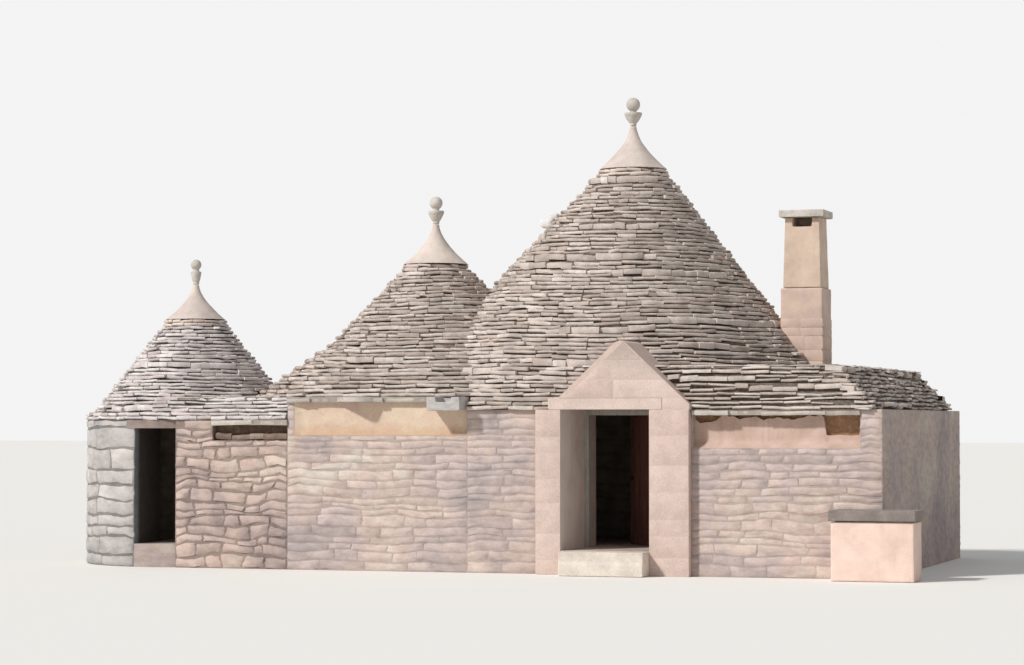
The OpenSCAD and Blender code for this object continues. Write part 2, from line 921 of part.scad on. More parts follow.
module doorway_piers() {
    color("#ecdccf") {
        block(door_left - pier_left_w, door_left, y_surround, y_front, 0, large_wall_h);
        block(x_door_right, x_door_right + pier_right_w, y_surround, y_front, 0, large_wall_h);
    }
}

module door_lintel() {
    color("#f0e4d8") lintel_solid();
}

module doorway_gable() {
    color("#ecdccf") difference() {
        gable_solid();
        lintel_solid();
    }
}

module hinge_pin(z) {
    translate([hinge_x, hinge_y, z - barrel_h / 2]) {
        cylinder(h = barrel_h + pin_end, r = pin_r, $fn = hinge_fn);
        translate([0, 0, -leaf_gap - pin_arm_h])
            cylinder(h = pin_arm_h + leaf_gap, r = pin_r, $fn = hinge_fn);
    }
    // The pin's arm runs to the doorway's side
    translate([hinge_x, hinge_y - pin_r, z - barrel_h / 2 - leaf_gap - pin_arm_h])
        cube([x_door_right - hinge_x, 2 * pin_r, pin_arm_h]);
}

module door_frame() {
    color("#6b4a38") {
        block(door_left, frame_left, y_frame, frame_rear, floor_h, large_wall_h);
        block(frame_right, x_door_right, y_frame, frame_rear, floor_h, large_wall_h);
        block(frame_left, frame_right, y_frame, frame_rear, head_under, large_wall_h);
    }
    color("#3c3835") for (z = hinge_z) hinge_pin(z);
}

// The leaf is drawn shut, round the hinge axis, and then turned open
module leaf_shut() {
    color("#7a4a36") {
        translate([-leaf_edge - leaf_w, leaf_face, leaf_bottom])
            cube([leaf_w, leaf_t, leaf_top - leaf_bottom]);
        for (z = hinge_z)
            translate([-leaf_edge - leaf_w + ledge_inset, leaf_face + leaf_t, z - ledge_h / 2])
                cube([leaf_w - 2 * ledge_inset, ledge_t, ledge_h]);
    }
    color("#3c3835") for (z = hinge_z) {
        difference() {
            union() {
                translate([0, 0, z - barrel_h / 2])
                    cylinder(h = barrel_h, r = barrel_r, $fn = hinge_fn);
                translate([-strap_len, leaf_face + leaf_t + ledge_t - strap_t / 2, z - strap_h / 2])
                    cube([strap_len, strap_t, strap_h]);
            }
            translate([0, 0, z - barrel_h])
                cylinder(h = 2 * barrel_h, r = pin_r + pin_gap, $fn = hinge_fn);
        }
    }
}

module door_leaf() {
    translate([hinge_x, hinge_y, 0]) rotate([0, 0, -leaf_open]) leaf_shut();
}

module bench_body() {
    color("#ead6c4") block(bench_x + bench_lip, bench_x + bench_len - bench_lip,
        y_front - bench_d + bench_lip, y_front, 0, bench_h - bench_slab_t);
}

module bench_slab() {
    color("#a9a7a4") block(bench_x, bench_x + bench_len, y_front - bench_d, y_front,
        bench_h - bench_slab_t, bench_h);
}

floor_large();
floor_medium();
floor_small();
door_steps();
front_wall_left();
front_wall_right();
right_wall();
rear_wall();
arch_wall();
front_wall_medium();
rear_wall_medium();
small_wall_front_left();
small_wall_rear_left();
small_wall_front_right();
small_wall_rear_right();
small_door_lintel();
plaster_bands();
eave_slabs();
spout_stone();
roof_large_base();
roof_large_lower();
roof_large_middle();
roof_large_upper();
cap_large();
finial_large();
roof_medium_lower();
roof_medium_upper();
cap_medium();
finial_medium();
roof_small_base();
roof_small_upper();
cap_small();
finial_small();
chimney_base();
chimney_shaft();
chimney_cap();
doorway_piers();
door_lintel();
doorway_gable();
door_frame();
door_leaf();
bench_body();
bench_slab();
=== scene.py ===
"""Trullo house: the looks of three joined dry-stone rooms under stepped cone roofs.

Each roof course gets its own limestone slabs, each wall face its coursed stones, and the door its
boards and irons. All sizes are in metres. X runs to the right along the facade, Y from the facade
to the rear and Z up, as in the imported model.
"""

import bisect
import math
import random
from collections import namedtuple

import bmesh
import bpy
from mathutils import Matrix, Vector, noise


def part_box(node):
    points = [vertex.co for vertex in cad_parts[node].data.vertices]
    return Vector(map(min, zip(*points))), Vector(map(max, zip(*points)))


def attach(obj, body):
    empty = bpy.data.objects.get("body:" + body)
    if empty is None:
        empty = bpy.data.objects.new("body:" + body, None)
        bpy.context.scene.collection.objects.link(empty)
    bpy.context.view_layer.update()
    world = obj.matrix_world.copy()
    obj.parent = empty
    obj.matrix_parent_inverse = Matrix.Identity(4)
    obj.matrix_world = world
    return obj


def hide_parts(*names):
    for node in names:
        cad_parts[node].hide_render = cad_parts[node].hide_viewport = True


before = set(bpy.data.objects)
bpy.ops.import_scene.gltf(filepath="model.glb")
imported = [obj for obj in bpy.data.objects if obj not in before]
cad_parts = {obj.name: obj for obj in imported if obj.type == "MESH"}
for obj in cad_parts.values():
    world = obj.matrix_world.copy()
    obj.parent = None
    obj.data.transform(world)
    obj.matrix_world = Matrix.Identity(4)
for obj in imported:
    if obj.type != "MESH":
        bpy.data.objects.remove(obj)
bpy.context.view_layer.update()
SEED = 11
rng = random.Random(SEED)
noise.seed_set(SEED)
link = bpy.context.scene.collection.objects.link
box = {name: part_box(name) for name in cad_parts}

# Places taken from the frame

FACADE = box["front_wall_left"][0].y
REAR = box["rear_wall"][1].y
ROOM_REAR = box["rear_wall"][0].y
RIGHT = box["front_wall_right"][1].x
LARGE_TOP = box["front_wall_left"][1].z
MEDIUM_TOP = box["arch_wall"][1].z
SMALL_TOP = box["small_wall_front_left"][1].z
ARCH_X = box["arch_wall"][1].x
SMALL_X = box["small_wall_front_right"][1].x
MIDDLE = box["small_wall_rear_left"][1].y
FLOOR = box["floor_large"][1].z
JAMB_LEFT, JAMB_RIGHT = box["front_wall_left"][1].x, box["front_wall_right"][0].x
SURROUND = box["doorway_piers"][0].y
SURROUND_LEFT, SURROUND_RIGHT = box["doorway_piers"][0].x, box["doorway_piers"][1].x
SMALL_JAMB_LEFT = box["small_wall_front_left"][1].x
SMALL_JAMB_RIGHT = box["small_wall_front_right"][0].x
DRUM_R = box["small_wall_front_left"][1].y - FACADE
DRUM = Vector((box["small_wall_front_left"][0].x + DRUM_R, FACADE + DRUM_R))
GABLE = box["doorway_gable"]
CHIMNEY = box["chimney_base"]
CHIMNEY_X = (CHIMNEY[0].x + CHIMNEY[1].x) / 2

# Roof forms, as in the solids


class Roof(namedtuple("Roof", "foot height count centre ray")):
    """A stepped roof: a centre and an outline radius for each course and angle."""

    def z(self, k):
        return self.foot + k * self.height

    def depth(self, x, y, z):
        """How far a point lies inside the outline, or below zero outside it."""
        k = math.floor((z - self.foot) / self.height)
        if k < 0 or k >= self.count:
            return -1.0
        cx, cy = self.centre(k)
        angle = math.atan2(y - cy, x - cx)
        return self.ray(k, angle) - math.hypot(x - cx, y - cy)

    def path(self, k, samples=720):
        """The outline of a course, from a random start so that no joint runs up the roof."""
        cx, cy = self.centre(k)
        start = rng.uniform(0, 2 * math.pi)
        points = []
        for i in range(samples + 1):
            angle = start + 2 * math.pi * i / samples
            r = self.ray(k, angle)
            points.append((cx + r * math.cos(angle), cy + r * math.sin(angle)))
        return Path(points)


def to_side(half, part):
    """Distance along a ray to a straight side, given the ray's part across that side."""
    return half / abs(part) if abs(part) > 1e-6 else 1e9


def tapered(foot, top, k, last):
    return foot - k * (foot - top) / last


# Radii of the foot and the top, number and height of the courses
LARGE_R, LARGE_TOP_R, LARGE_COURSES, LARGE_COURSE = 2.83, 0.44, 30, 0.097
# The foot's middle, how far the cone leans, the eave, setback and number of the foot courses that
# run square to the walls, and the same courses' inset and setback at the right end
LARGE_X, LARGE_LEAN = -0.10, 0.23
LARGE_EAVE, LARGE_SETBACK, LARGE_BASE = 0.07, 0.045, 5
SHOULDER_IN, SHOULDER_SETBACK = 0.09, 0.09


def large_centre(k):
    return LARGE_X + LARGE_LEAN * k / (LARGE_COURSES - 1), 0.0


def large_ray(k, angle):
    r = tapered(LARGE_R, LARGE_TOP_R, k, LARGE_COURSES - 1)
    if k >= LARGE_BASE:
        return r
    side = to_side(-FACADE + LARGE_EAVE - LARGE_SETBACK * k, math.sin(angle))
    r = min(r, side)
    if math.cos(angle) > 0:
        end = RIGHT - SHOULDER_IN - SHOULDER_SETBACK * k - large_centre(k)[0]
        r = max(r, min(side, to_side(end, math.cos(angle))))
    return r


MEDIUM_R, MEDIUM_TOP_R, MEDIUM_COURSES, MEDIUM_COURSE = 1.88, 0.42, 17, 0.095
MEDIUM_X, MEDIUM_Y = -2.17, FACADE + 1.94
# How far the foot's sides and corners stand out, and the number of courses until it is round
MEDIUM_OUT, MEDIUM_CORNER, MEDIUM_ROUND = 0.08, 0.29, 6


def medium_ray(k, angle):
    r = tapered(MEDIUM_R, MEDIUM_TOP_R, k, MEDIUM_COURSES - 1)
    if k >= MEDIUM_ROUND:
        return r
    square = 1 - k / MEDIUM_ROUND
    half = r + MEDIUM_OUT * square
    sides = min(to_side(half, math.sin(angle)), to_side(half, math.cos(angle)))
    return min(r + MEDIUM_CORNER * square, sides)


SMALL_R, SMALL_TOP_R, SMALL_COURSES, SMALL_COURSE = 1.21, 0.39, 14, 0.087
SMALL_EAVE_R, SMALL_EAVE, SMALL_SETBACK, SMALL_BASE = 1.335, 0.035, 0.07, 3


def small_ray(k, angle):
    r = tapered(SMALL_R, SMALL_TOP_R, k - 1, SMALL_COURSES - 2) if k else SMALL_EAVE_R
    if k < SMALL_BASE and math.cos(angle) > 0:
        front = DRUM_R + SMALL_EAVE - SMALL_SETBACK * k
        side = to_side(front if math.sin(angle) < 0 else DRUM_R, math.sin(angle))
        r = max(r, min(side, to_side(SMALL_X - DRUM.x, math.cos(angle))))
    return r


# Paths and batches of stones

# A turn that counts as a corner, in radians
SHARP = 0.3


class Path:
    """A line over the ground plan. The outer side is to the right of the way along it."""

    def __init__(self, points):
        self.points = [Vector(p) for p in points]
        self.reach = [0.0]
        for a, b in zip(self.points, self.points[1:]):
            self.reach.append(self.reach[-1] + (b - a).length)
        self.length = self.reach[-1]

    def at(self, s):
        """The point at a distance along the path, and the outward direction there."""
        i = min(max(bisect.bisect_right(self.reach, s) - 1, 0), len(self.points) - 2)
        a, b = self.points[i], self.points[i + 1]
        way = (b - a).normalized()
        return a + way * (s - self.reach[i]), Vector((way.y, -way.x))

    def corners(self):
        """Distances at which the path turns sharply."""
        corners = zip(self.points, self.points[1:], self.points[2:], self.reach[1:])
        return [s for a, b, c, s in corners if (b - a).angle(c - b, 0) > SHARP]

    def place(self, s, z, out):
        point, outward = self.at(s)
        spot = point + outward * out
        return Vector((spot.x, spot.y, max(z, 0.0)))


def arc(centre, radius, start, end, steps=48):
    """Points of an arc, with its angles in degrees."""
    angles = [math.radians(start + (end - start) * i / steps) for i in range(steps + 1)]
    return [(centre[0] + radius * math.cos(a), centre[1] + radius * math.sin(a)) for a in angles]


class Batch:
    """Many small solids in one mesh, each with a tone of its own for its material."""

    def __init__(self):
        self.points, self.faces, self.tones = [], [], []

    def add(self, points, faces, tone=None):
        first = len(self.points)
        tone = rng.random() if tone is None else tone
        self.points += points
        self.faces += [tuple(first + i for i in face) for face in faces]
        self.tones += [tone] * len(points)

    def take(self, form, tone=None):
        """Adds a bmesh and frees it."""
        form.verts.index_update()
        faces = [[vertex.index for vertex in face.verts] for face in form.faces]
        self.add([vertex.co.copy() for vertex in form.verts], faces, tone)
        form.free()

    def build(self, name, material, slot, **how):
        mesh = bpy.data.meshes.new(name)
        mesh.from_pydata(self.points, [], self.faces)
        set_tones(mesh, self.tones)
        finished(name, mesh, material, slot, **how)


def set_tones(mesh, tones):
    mesh.attributes.new("tone", "FLOAT", "POINT").data.foreach_set("value", tones)


def finished(name, mesh, material, slot, body="house", angle=50, replaces=None):
    """Links a mesh as a piece of the object, smooth up to an angle in degrees."""
    mesh.shade_smooth()
    mesh.set_sharp_from_angle(angle=math.radians(angle))
    mesh.materials.append(MATERIALS[material])
    piece = bpy.data.objects.new(name, mesh)
    link(piece)
    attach(piece, body)
    if replaces:
        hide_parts(replaces)
    return piece


def cuts(low, high, mean, spread=0.35):
    """Uneven divisions of a stretch, as a list of its edges."""
    count = max(1, round((high - low) / mean))
    sizes = [rng.uniform(1 - spread, 1 + spread) for _ in range(count)]
    scale = (high - low) / sum(sizes)
    edges = [low]
    for size in sizes:
        edges.append(edges[-1] + size * scale)
    return edges


def pairs(edges):
    return list(zip(edges, edges[1:]))


def quads(columns, rows):
    """The faces of a grid of points that runs column by column."""
    across = rows + 1
    return [(i * across + k, (i + 1) * across + k, (i + 1) * across + k + 1, i * across + k + 1)
            for i in range(columns) for k in range(rows)]


def around(first, second, count):
    """The faces between two rings of points."""
    return [(first + i, first + (i + 1) % count, second + (i + 1) % count, second + i)
            for i in range(count)]


# Mean course height and stone length, width of the level and of the upright joints, how far the
# face stands out of the joints, width of the rounded edge, how uneven the outline is, and how far
# the joints stray from straight rows
Look = namedtuple("Look", "height length joint ends rise edge jitter wander")
RUBBLE = Look(0.095, 0.46, 0.006, 0.002, 0.0045, 0.012, 0.008, 0.05)
ROUGH_RUBBLE = Look(0.110, 0.26, 0.011, 0.007, 0.012, 0.019, 0.012, 0.09)
DRUM_STONE = Look(0.172, 0.48, 0.013, 0.006, 0.014, 0.018, 0.010, 0.05)
ASHLAR = Look(0.27, 0.60, 0.002, 0.002, 0.0015, 0.008, 0.001, 0.0)
CHIMNEY_STONE = Look(0.12, 0.24, 0.003, 0.001, 0.002, 0.012, 0.005, 0.0)
FLAG = Look(0.42, 0.55, 0.012, 0.012, 0.006, 0.020, 0.004, 0.0)
TERRACE = Look(0.17, 0.24, 0.012, 0.012, 0.012, 0.022, 0.008, 0.11)
# How far a stone's edge lies behind the wall's face, the smallest stone, and the distance between
# the columns of points that let one bend
SINK, SHORTEST, LOWEST, BEND = 0.006, 0.02, 0.015, 0.12


def lay_stone(batch, place, a, b, c, d, look, trim=None):
    """One stone as a low cushion over the stretch a to b, c to d, cut so that it can bend."""
    a, b, c, d = a + look.ends / 2, b - look.ends / 2, c + look.joint / 2, d - look.joint / 2
    if b - a < SHORTEST or d - c < LOWEST:
        return
    edge = min(look.edge, (b - a) / 3, (d - c) / 3)
    inner = max(2, round((b - a) / BEND))
    us = [a, *(a + edge + (b - a - 2 * edge) * i / inner for i in range(inner + 1)), b]
    vs = [c, c + edge, (c + d) / 2, d - edge, d]
    last = len(us) - 1
    rise = look.rise * rng.uniform(0.45, 1.25)
    lean_u, lean_v = (look.rise * rng.uniform(-0.35, 0.35) for _ in range(2))
    points = []
    for i, u in enumerate(us):
        for k, v in enumerate(vs):
            at_side, at_end = i in (0, last), k in (0, 4)
            blunt = edge * 0.45 if at_side and at_end else 0.0
            face = rise + lean_u * (2 * i / last - 1) + lean_v * (k / 2 - 1)
            out = -min(SINK, look.rise) if at_side or at_end else face
            u_here = u + (blunt if i == 0 else -blunt) + rng.uniform(-look.jitter, look.jitter)
            v_here = v + (blunt if k == 0 else -blunt) + rng.uniform(-look.jitter, look.jitter)
            if trim:
                low, high = trim(v_here)
                left, right = max(a, low), min(b, high)
                u_here = left + (u_here - a) / (b - a) * (right - left)
            points.append(place(u_here, v_here, out))
    batch.add(points, quads(last, 4))


def free_runs(start, end, breaks, holes=(), z=0.0):
    """The stretches between start and end, parted at breaks, that no hole covers at height z."""
    stops = sorted({start, end, *(b for b in breaks if start < b < end)})
    runs = []
    for a, b in pairs(stops):
        here = a
        for left, right, low, high in sorted(h for h in holes if h[2] < z < h[3]):
            if right <= here or left >= b:
                continue
            if left > here:
                runs.append((here, left))
            here = max(here, right)
        if here < b:
            runs.append((here, b))
    return runs


# The distance from an edge over which the straying of the joints dies out
EDGE_FADE = 0.14


def wandering(path, bounds, holes, wander):
    """Places stones along a path with courses that rise and fall, but not at the edges."""
    start, end, low, high = bounds

    def place(u, v, out):
        gaps = [u - start, end - u, v - low, high - v]
        gaps += [max(left - u, u - right, foot - v, v - top) for left, right, foot, top in holes]
        fade = min(1.0, max(0.0, min(gaps) / EDGE_FADE))
        drift = noise.noise_vector(Vector((u * 2.2, v * 4.0, path.length)))
        return path.place(u + drift.x * wander * fade, v + drift.y * wander * fade, out)

    return place


def lay_face(batch, path, high, look, holes=(), trim=None, low=0.0, start=0.0, end=None):
    """Lays coursed stones along a path. A hole is (from, to, low, high)."""
    end = path.length if end is None else end
    place = path.place
    if look.wander:
        place = wandering(path, (start, end, low, high), holes, look.wander)
    levels = sorted({low, high, *(z for h in holes for z in h[2:] if low < z < high)})
    for z0, z1 in pairs(levels):
        for c, d in pairs(cuts(z0, z1, look.height)):
            for run in free_runs(start, end, path.corners(), holes, (c + d) / 2):
                for a, b in pairs(cuts(*run, look.length, 0.5)):
                    lay_stone(batch, place, a, b, c, d, look, trim)


def pave(batch, low, high, z, look, keep=lambda x, y: True):
    """Lays flat stones over a level rectangle, where keep allows them."""
    def place(u, v, out):
        drift = noise.noise_vector(Vector((u * 3.1, v * 3.1, 2.0))) * look.wander
        return Vector((u + drift.x, v + drift.y, z + out))

    for c, d in pairs(cuts(low[1], high[1], look.height)):
        for a, b in pairs(cuts(low[0], high[0], look.length, 0.4)):
            if keep((a + b) / 2, (c + d) / 2):
                lay_stone(batch, place, a, b, c, d, look)


# Roof slabs

# Depth of a slab, the joint between two, and the distance between the columns of points in one
SLAB_DEPTH, SLAB_GAP, SLAB_BEND = 0.20, 0.004, 0.065
# How far a course sways, and the share of its stretches that are built of thin slabs two deep
SWAY, DOUBLED = 0.020, 0.90
# Mean length of such stretches, and how much thinner the slabs are where they lie most openly
STRETCH, OPENNESS = 0.95, 0.34
# How far over the eave that reaches, and where and over what length it sets in
OPEN_HIGH, OPEN_FROM, OPEN_OVER = 1.1, 0.4, 0.7


def sway(spot, fade):
    """How far the courses rise or fall at a place, much the same for neighbouring ones."""
    x, y = spot
    return SWAY * fade * noise.noise(Vector((x * 0.9, y * 0.9, 0.5)))


def lay_slab(batch, path, a, b, low, thick, out, limit, fade=0.0):
    """One roof slab with a rough outer edge that follows the course's outline."""
    columns = max(3, round((b - a) / SLAB_BEND) + 1)
    rise_a, rise_b = (sway(path.at(s)[0], fade) for s in (a, b))
    tip = rng.uniform(-0.007, 0.007)
    clipped = [rng.uniform(0.002, 0.014) for _ in range(2)]
    points = []
    for j in range(columns):
        share = j / (columns - 1)
        s = a + SLAB_GAP / 2 + (b - a - SLAB_GAP) * share
        corner = clipped[0] * (1 - share) ** 6 + clipped[1] * share ** 6
        off = min(out + rng.uniform(-0.010, 0.006) - corner, limit)
        z = low + rise_a + (rise_b - rise_a) * share + tip * (2 * share - 1)
        z += rng.uniform(-0.002, 0.002)
        top = z + thick * rng.uniform(0.92, 1.04)
        # The slab's section, from its rear foot around its outer edge to its rear top
        points += [
            path.place(s, z + 0.008, -SLAB_DEPTH),
            path.place(s, z, off - rng.uniform(0.004, 0.014)),
            path.place(s, z + thick * 0.40, off),
            path.place(s, top - thick * 0.16, off - 0.003),
            path.place(s, top, off - rng.uniform(0.010, 0.022)),
            path.place(s, top + 0.010, -SLAB_DEPTH),
        ]
    last = (columns - 1) * 6
    ends = [tuple(range(6)), tuple(last + p for p in reversed(range(6)))]
    batch.add(points, quads(columns - 1, 5) + ends)


def loose(spot, z):
    """How openly the slabs lie: from zero to one low on the right of the large cone."""
    low = max(0.0, 1 - (z - LARGE_TOP) / OPEN_HIGH)
    return low * min(1.0, max(0.0, (spot.x - OPEN_FROM) / OPEN_OVER))


def lay_course(batch, path, stretch, foot, course, mean, limit, fade, uneven):
    """A stretch of a course in single slabs, or in thin ones two deep with the upper set back."""
    for a, b in pairs(cuts(*stretch, STRETCH, 0.5)):
        rows = [(0.0, course, 0.004)]
        if rng.random() < DOUBLED:
            split = course * rng.uniform(0.42, 0.58)
            rows = [(0.0, split, 0.006), (split, course, -0.022)]
        for low, high, out in rows:
            for s0, s1 in pairs(cuts(a, b, mean, 0.5)):
                if s1 - s0 > 0.03:
                    room = high - low
                    thick = room * rng.uniform(0.62, 0.92)
                    thick *= 1 - OPENNESS * loose(path.at(s0)[0], foot)
                    bed = foot + low + (room - thick) * rng.uniform(0.1, 1.0)
                    edge = max(out + rng.gauss(0.0, uneven), -0.05)
                    lay_slab(batch, path, s0, s1, bed, thick, edge, limit, fade)


def shown_runs(path, shown, step=0.012):
    """The stretches of a path at which shown(x, y) holds."""
    count = int(path.length / step) + 1
    runs, begun = [], None
    for i in range(count + 1):
        s = min(i * step, path.length)
        here = i < count and shown(*path.at(s)[0])
        if here and begun is None:
            begun = s
        elif begun is not None and not here:
            runs.append((begun, s))
            begun = None
    return runs


def slab_roof(name, roof, material, slot, mean, hidden, limits, bare):
    """Covers every course of a roof with slabs, except where hidden(x, y, z) holds.

    Limits are how far the foot course and the others reach out at most. Limewash from the cap
    covers the top course, but for patches that grow with bare.
    """
    batch, washed = Batch(), Batch()

    def limewashed(x, y):
        return k == roof.count - 1 and noise.noise(Vector((x * 2.2, y * 2.2, 1))) > bare

    for k in range(roof.count):
        path = roof.path(k)
        middle = roof.z(k) + roof.height / 2
        length = mean * rng.uniform(0.85, 1.15) * (0.75 if k > roof.count * 0.7 else 1)
        fade = min(1.0, k / 3, (roof.count - 1 - k) / 3)
        uneven = 0.012 + 0.010 * max(0.0, 1 - k / 9)
        for target, kind in ((batch, False), (washed, True)):
            def shown(x, y):
                return limewashed(x, y) == kind and not hidden(x, y, middle)

            for run in shown_runs(path, shown):
                for stretch in free_runs(*run, path.corners()):
                    lay_course(target, path, stretch, roof.z(k), roof.height, length,
                               limits[k > 0], fade, uneven)
    washed.build(name + "_limewashed", "cap_plaster", "cap_plaster", angle=60)
    batch.build(name, material, slot, angle=38)


# Materials

MATERIALS = {}


def rgb(code):
    """A colour written as six hex digits, for Blender's linear sockets."""
    parts = [int(code[i:i + 2], 16) / 255 for i in (0, 2, 4)]
    return [p / 12.92 if p <= 0.04045 else ((p + 0.055) / 1.055) ** 2.4 for p in parts] + [1.0]


class Graph:
    """A node tree, built in short steps."""

    def __init__(self, owner):
        owner.use_nodes = True
        self.tree = owner.node_tree

    def node(self, kind, inputs=None, **settings):
        node = self.tree.nodes.new("ShaderNode" + kind)
        for key, value in settings.items():
            setattr(node, key, value)
        for key, value in (inputs or {}).items():
            self.put(node.inputs[key], value)
        return node

    def put(self, socket, value):
        """Links another node's output, or sets a number or a colour in hex digits."""
        if isinstance(value, bpy.types.NodeSocket):
            self.tree.links.new(value, socket)
        else:
            socket.default_value = rgb(value) if isinstance(value, str) else value

    def maths(self, operation, a, b):
        return self.node("Math", {0: a, 1: b}, operation=operation).outputs[0]


class Shader(Graph):
    """A material from the object's own coordinates.

    A grain is a noise's scale, detail and roughness. A stop is a place on a ramp with its colour.
    """

    def __init__(self, name, roughness=0.9, specular=0.2):
        self.material = bpy.data.materials.new(name)
        super().__init__(self.material)
        self.surface = self.tree.nodes["Principled BSDF"]
        self.surface.inputs["Roughness"].default_value = roughness
        self.surface.inputs["Specular IOR Level"].default_value = specular
        self.where = self.node("TexCoord").outputs["Object"]
        MATERIALS[name] = self.material

    def noise(self, scale, detail, roughness, stretch=None, distortion=0.0):
        vector = self.where
        if stretch:
            vector = self.node("Mapping", {"Vector": vector, "Scale": stretch}).outputs[0]
        return self.node("TexNoise", {
            "Vector": vector, "Scale": scale, "Detail": detail, "Roughness": roughness,
            "Distortion": distortion}).outputs["Fac"]

    def tone(self):
        return self.node("Attribute", attribute_name="tone").outputs["Fac"]

    def part(self, vector, axis):
        return self.node("SeparateXYZ", {"Vector": vector}).outputs[axis]

    def ramp(self, value, *stops):
        node = self.node("ValToRGB", {"Fac": value})
        ramp = node.color_ramp
        while len(ramp.elements) < len(stops):
            ramp.elements.new(0.5)
        for element, (place, colour) in zip(ramp.elements, stops):
            element.position = place
            element.color = rgb(colour) if isinstance(colour, str) else [colour] * 3 + [1.0]
        return node.outputs["Color"]

    def mix(self, factor, a, b, mode="MIX"):
        settings = {"data_type": "RGBA", "blend_type": mode}
        return self.node("Mix", {0: factor, 6: a, 7: b}, **settings).outputs[2]

    def uneven(self, value, grain, by):
        return self.maths("ADD", value, self.maths("MULTIPLY", self.noise(*grain), by))

    def relief(self, share, coarse, fine):
        return self.mix(share, self.noise(*coarse), self.noise(*fine))

    def shaded(self, colour, share, grain, *stops, **how):
        """The colour under a noise that darkens or lightens it."""
        return self.mix(share, colour, self.ramp(self.noise(*grain, **how), *stops), "MULTIPLY")

    def patched(self, colour, other, share, grain, low, high, **how):
        """The colour with a share of another one where a noise rises from low to high."""
        patches = self.ramp(self.noise(*grain, **how), (low, 0.0), (high, 1.0))
        return self.mix(self.maths("MULTIPLY", patches, share), colour, other)

    def finish(self, colour, height=None, bump=0.5, distance=0.01):
        self.put(self.surface.inputs["Base Color"], colour)
        if height is not None:
            node = self.node("Bump", {
                "Height": height, "Strength": bump, "Distance": distance})
            self.put(self.surface.inputs["Normal"], node.outputs["Normal"])
        return self.material


def stone_material(name, tones, lichen_share, crust=0.5, stain=0.75, greying=None):
    """Weathered limestone: a tone for each stone, stains, pits and lichen on the upper faces.

    Tones are dark, middle, pale and lichen. Greying is a height over which the stones turn grey,
    as where rain wets them most.
    """
    dark, middle, pale, lichen = tones.split()
    fine = (70.0, 4, 0.7), (0.30, 0.78), (0.66, 1.06)
    s = Shader(name, 0.88, 0.3)
    colour = s.ramp(s.tone(), (0.0, dark), (0.5, middle), (1.0, pale))
    colour = s.shaded(colour, stain, (5.0, 6, 0.62), (0.36, 0.62), (0.62, 1.0))
    colour = s.shaded(colour, 0.8, *fine)
    colour = s.patched(colour, lichen, lichen_share, (11.0, 7, 0.72), 0.50, 0.64)
    if greying:
        low, high = greying
        level = s.uneven(s.part(s.where, "Z"), (4.0, 6, 0.7), 0.3)
        share = s.maths("DIVIDE", s.maths("SUBTRACT", level, low + 0.15), high - low)
        share = s.maths("MINIMUM", s.maths("MAXIMUM", share, 0.0), 0.85)
        colour = s.mix(share, colour, s.shaded("b5a49b", 0.9, *fine))
    normal = s.node("NewGeometry").outputs["Normal"]
    upward = s.maths("MAXIMUM", s.part(normal, "Z"), 0.0)
    crusted = s.maths("MULTIPLY", upward, crust)
    colour = s.patched(colour, "8f8a83", crusted, (26.0, 5, 0.7), 0.52, 0.60)
    cells = s.node("TexVoronoi", {"Vector": s.where, "Scale": 60.0}).outputs["Distance"]
    pits = s.ramp(cells, (0.0, 0.35), (0.22, 1.0))
    relief = s.relief(0.5, (34.0, 8, 0.7), (9.0, 4, 0.6))
    s.finish(colour, s.mix(0.35, relief, pits, "MULTIPLY"), 0.75, 0.012)


def limewashed_stone(name, stops, bump, shade):
    """Stones under many coats of limewash: broad patches of colour that run across the joints."""
    s = Shader(name)
    broad = s.ramp(s.noise(1.25, 6, 0.62, distortion=0.5), *stops)
    each = s.ramp(s.tone(), (0.0, 0.87 * shade), (0.5, 0.97 * shade), (1.0, 1.04 * shade))
    colour = s.mix(1.0, broad, each, "MULTIPLY")
    colour = s.shaded(colour, 0.9, (6.0, 6, 0.65), (0.36, 0.78), (0.58, 1.02),
                      stretch=(1.0, 1.0, 2.2))
    colour = s.shaded(colour, 0.8, (75.0, 4, 0.7), (0.30, 0.86), (0.64, 1.04))
    colour = s.patched(colour, "b3a49c", 0.35, (16.0, 6, 0.75), 0.60, 0.70)
    s.finish(colour, s.relief(0.5, (30.0, 8, 0.7), (8.0, 4, 0.6)), bump, 0.012)


def band_material():
    """Plaster under the eaves: cream and pink patches, turning tan towards its foot."""
    s = Shader("band_plaster")
    patches = s.ramp(s.noise(2.6, 6, 0.66, distortion=0.4),
                     (0.34, "d1b6a8"), (0.5, "d7bda7"), (0.66, "dbcab2"))
    foot = s.ramp(s.uneven(s.tone(), (9.0, 6, 0.7), 0.5), (0.30, 1.0), (0.62, 0.0))
    colour = s.mix(s.maths("MULTIPLY", foot, 0.65), patches, "c09a79")
    colour = s.shaded(colour, 0.8, (110.0, 3, 0.7), (0.32, 0.84), (0.6, 1.03))
    colour = s.shaded(colour, 0.8, (14.0, 7, 0.72), (0.54, 1.0), (0.70, 0.80))
    s.finish(colour, s.relief(0.4, (7.0, 6, 0.6), (60.0, 6, 0.7)), 0.6, 0.014)


def plaster_material(name, colour, stain, bump, streaks, mottle):
    """Limewash over stone: soft mottling, rain streaks and trowel marks."""
    s = Shader(name)
    base = s.patched(colour, stain, mottle, (3.2, 6, 0.62), 0.38, 0.70)
    base = s.patched(base, stain, streaks, (7.0, 5, 0.6), 0.55, 0.72, stretch=(1.0, 1.0, 0.09))
    base = s.shaded(base, 0.7, (120.0, 3, 0.7), (0.32, 0.86), (0.6, 1.03))
    s.finish(base, s.relief(0.35, (6.0, 5, 0.55), (80.0, 5, 0.65)), bump, 0.012)


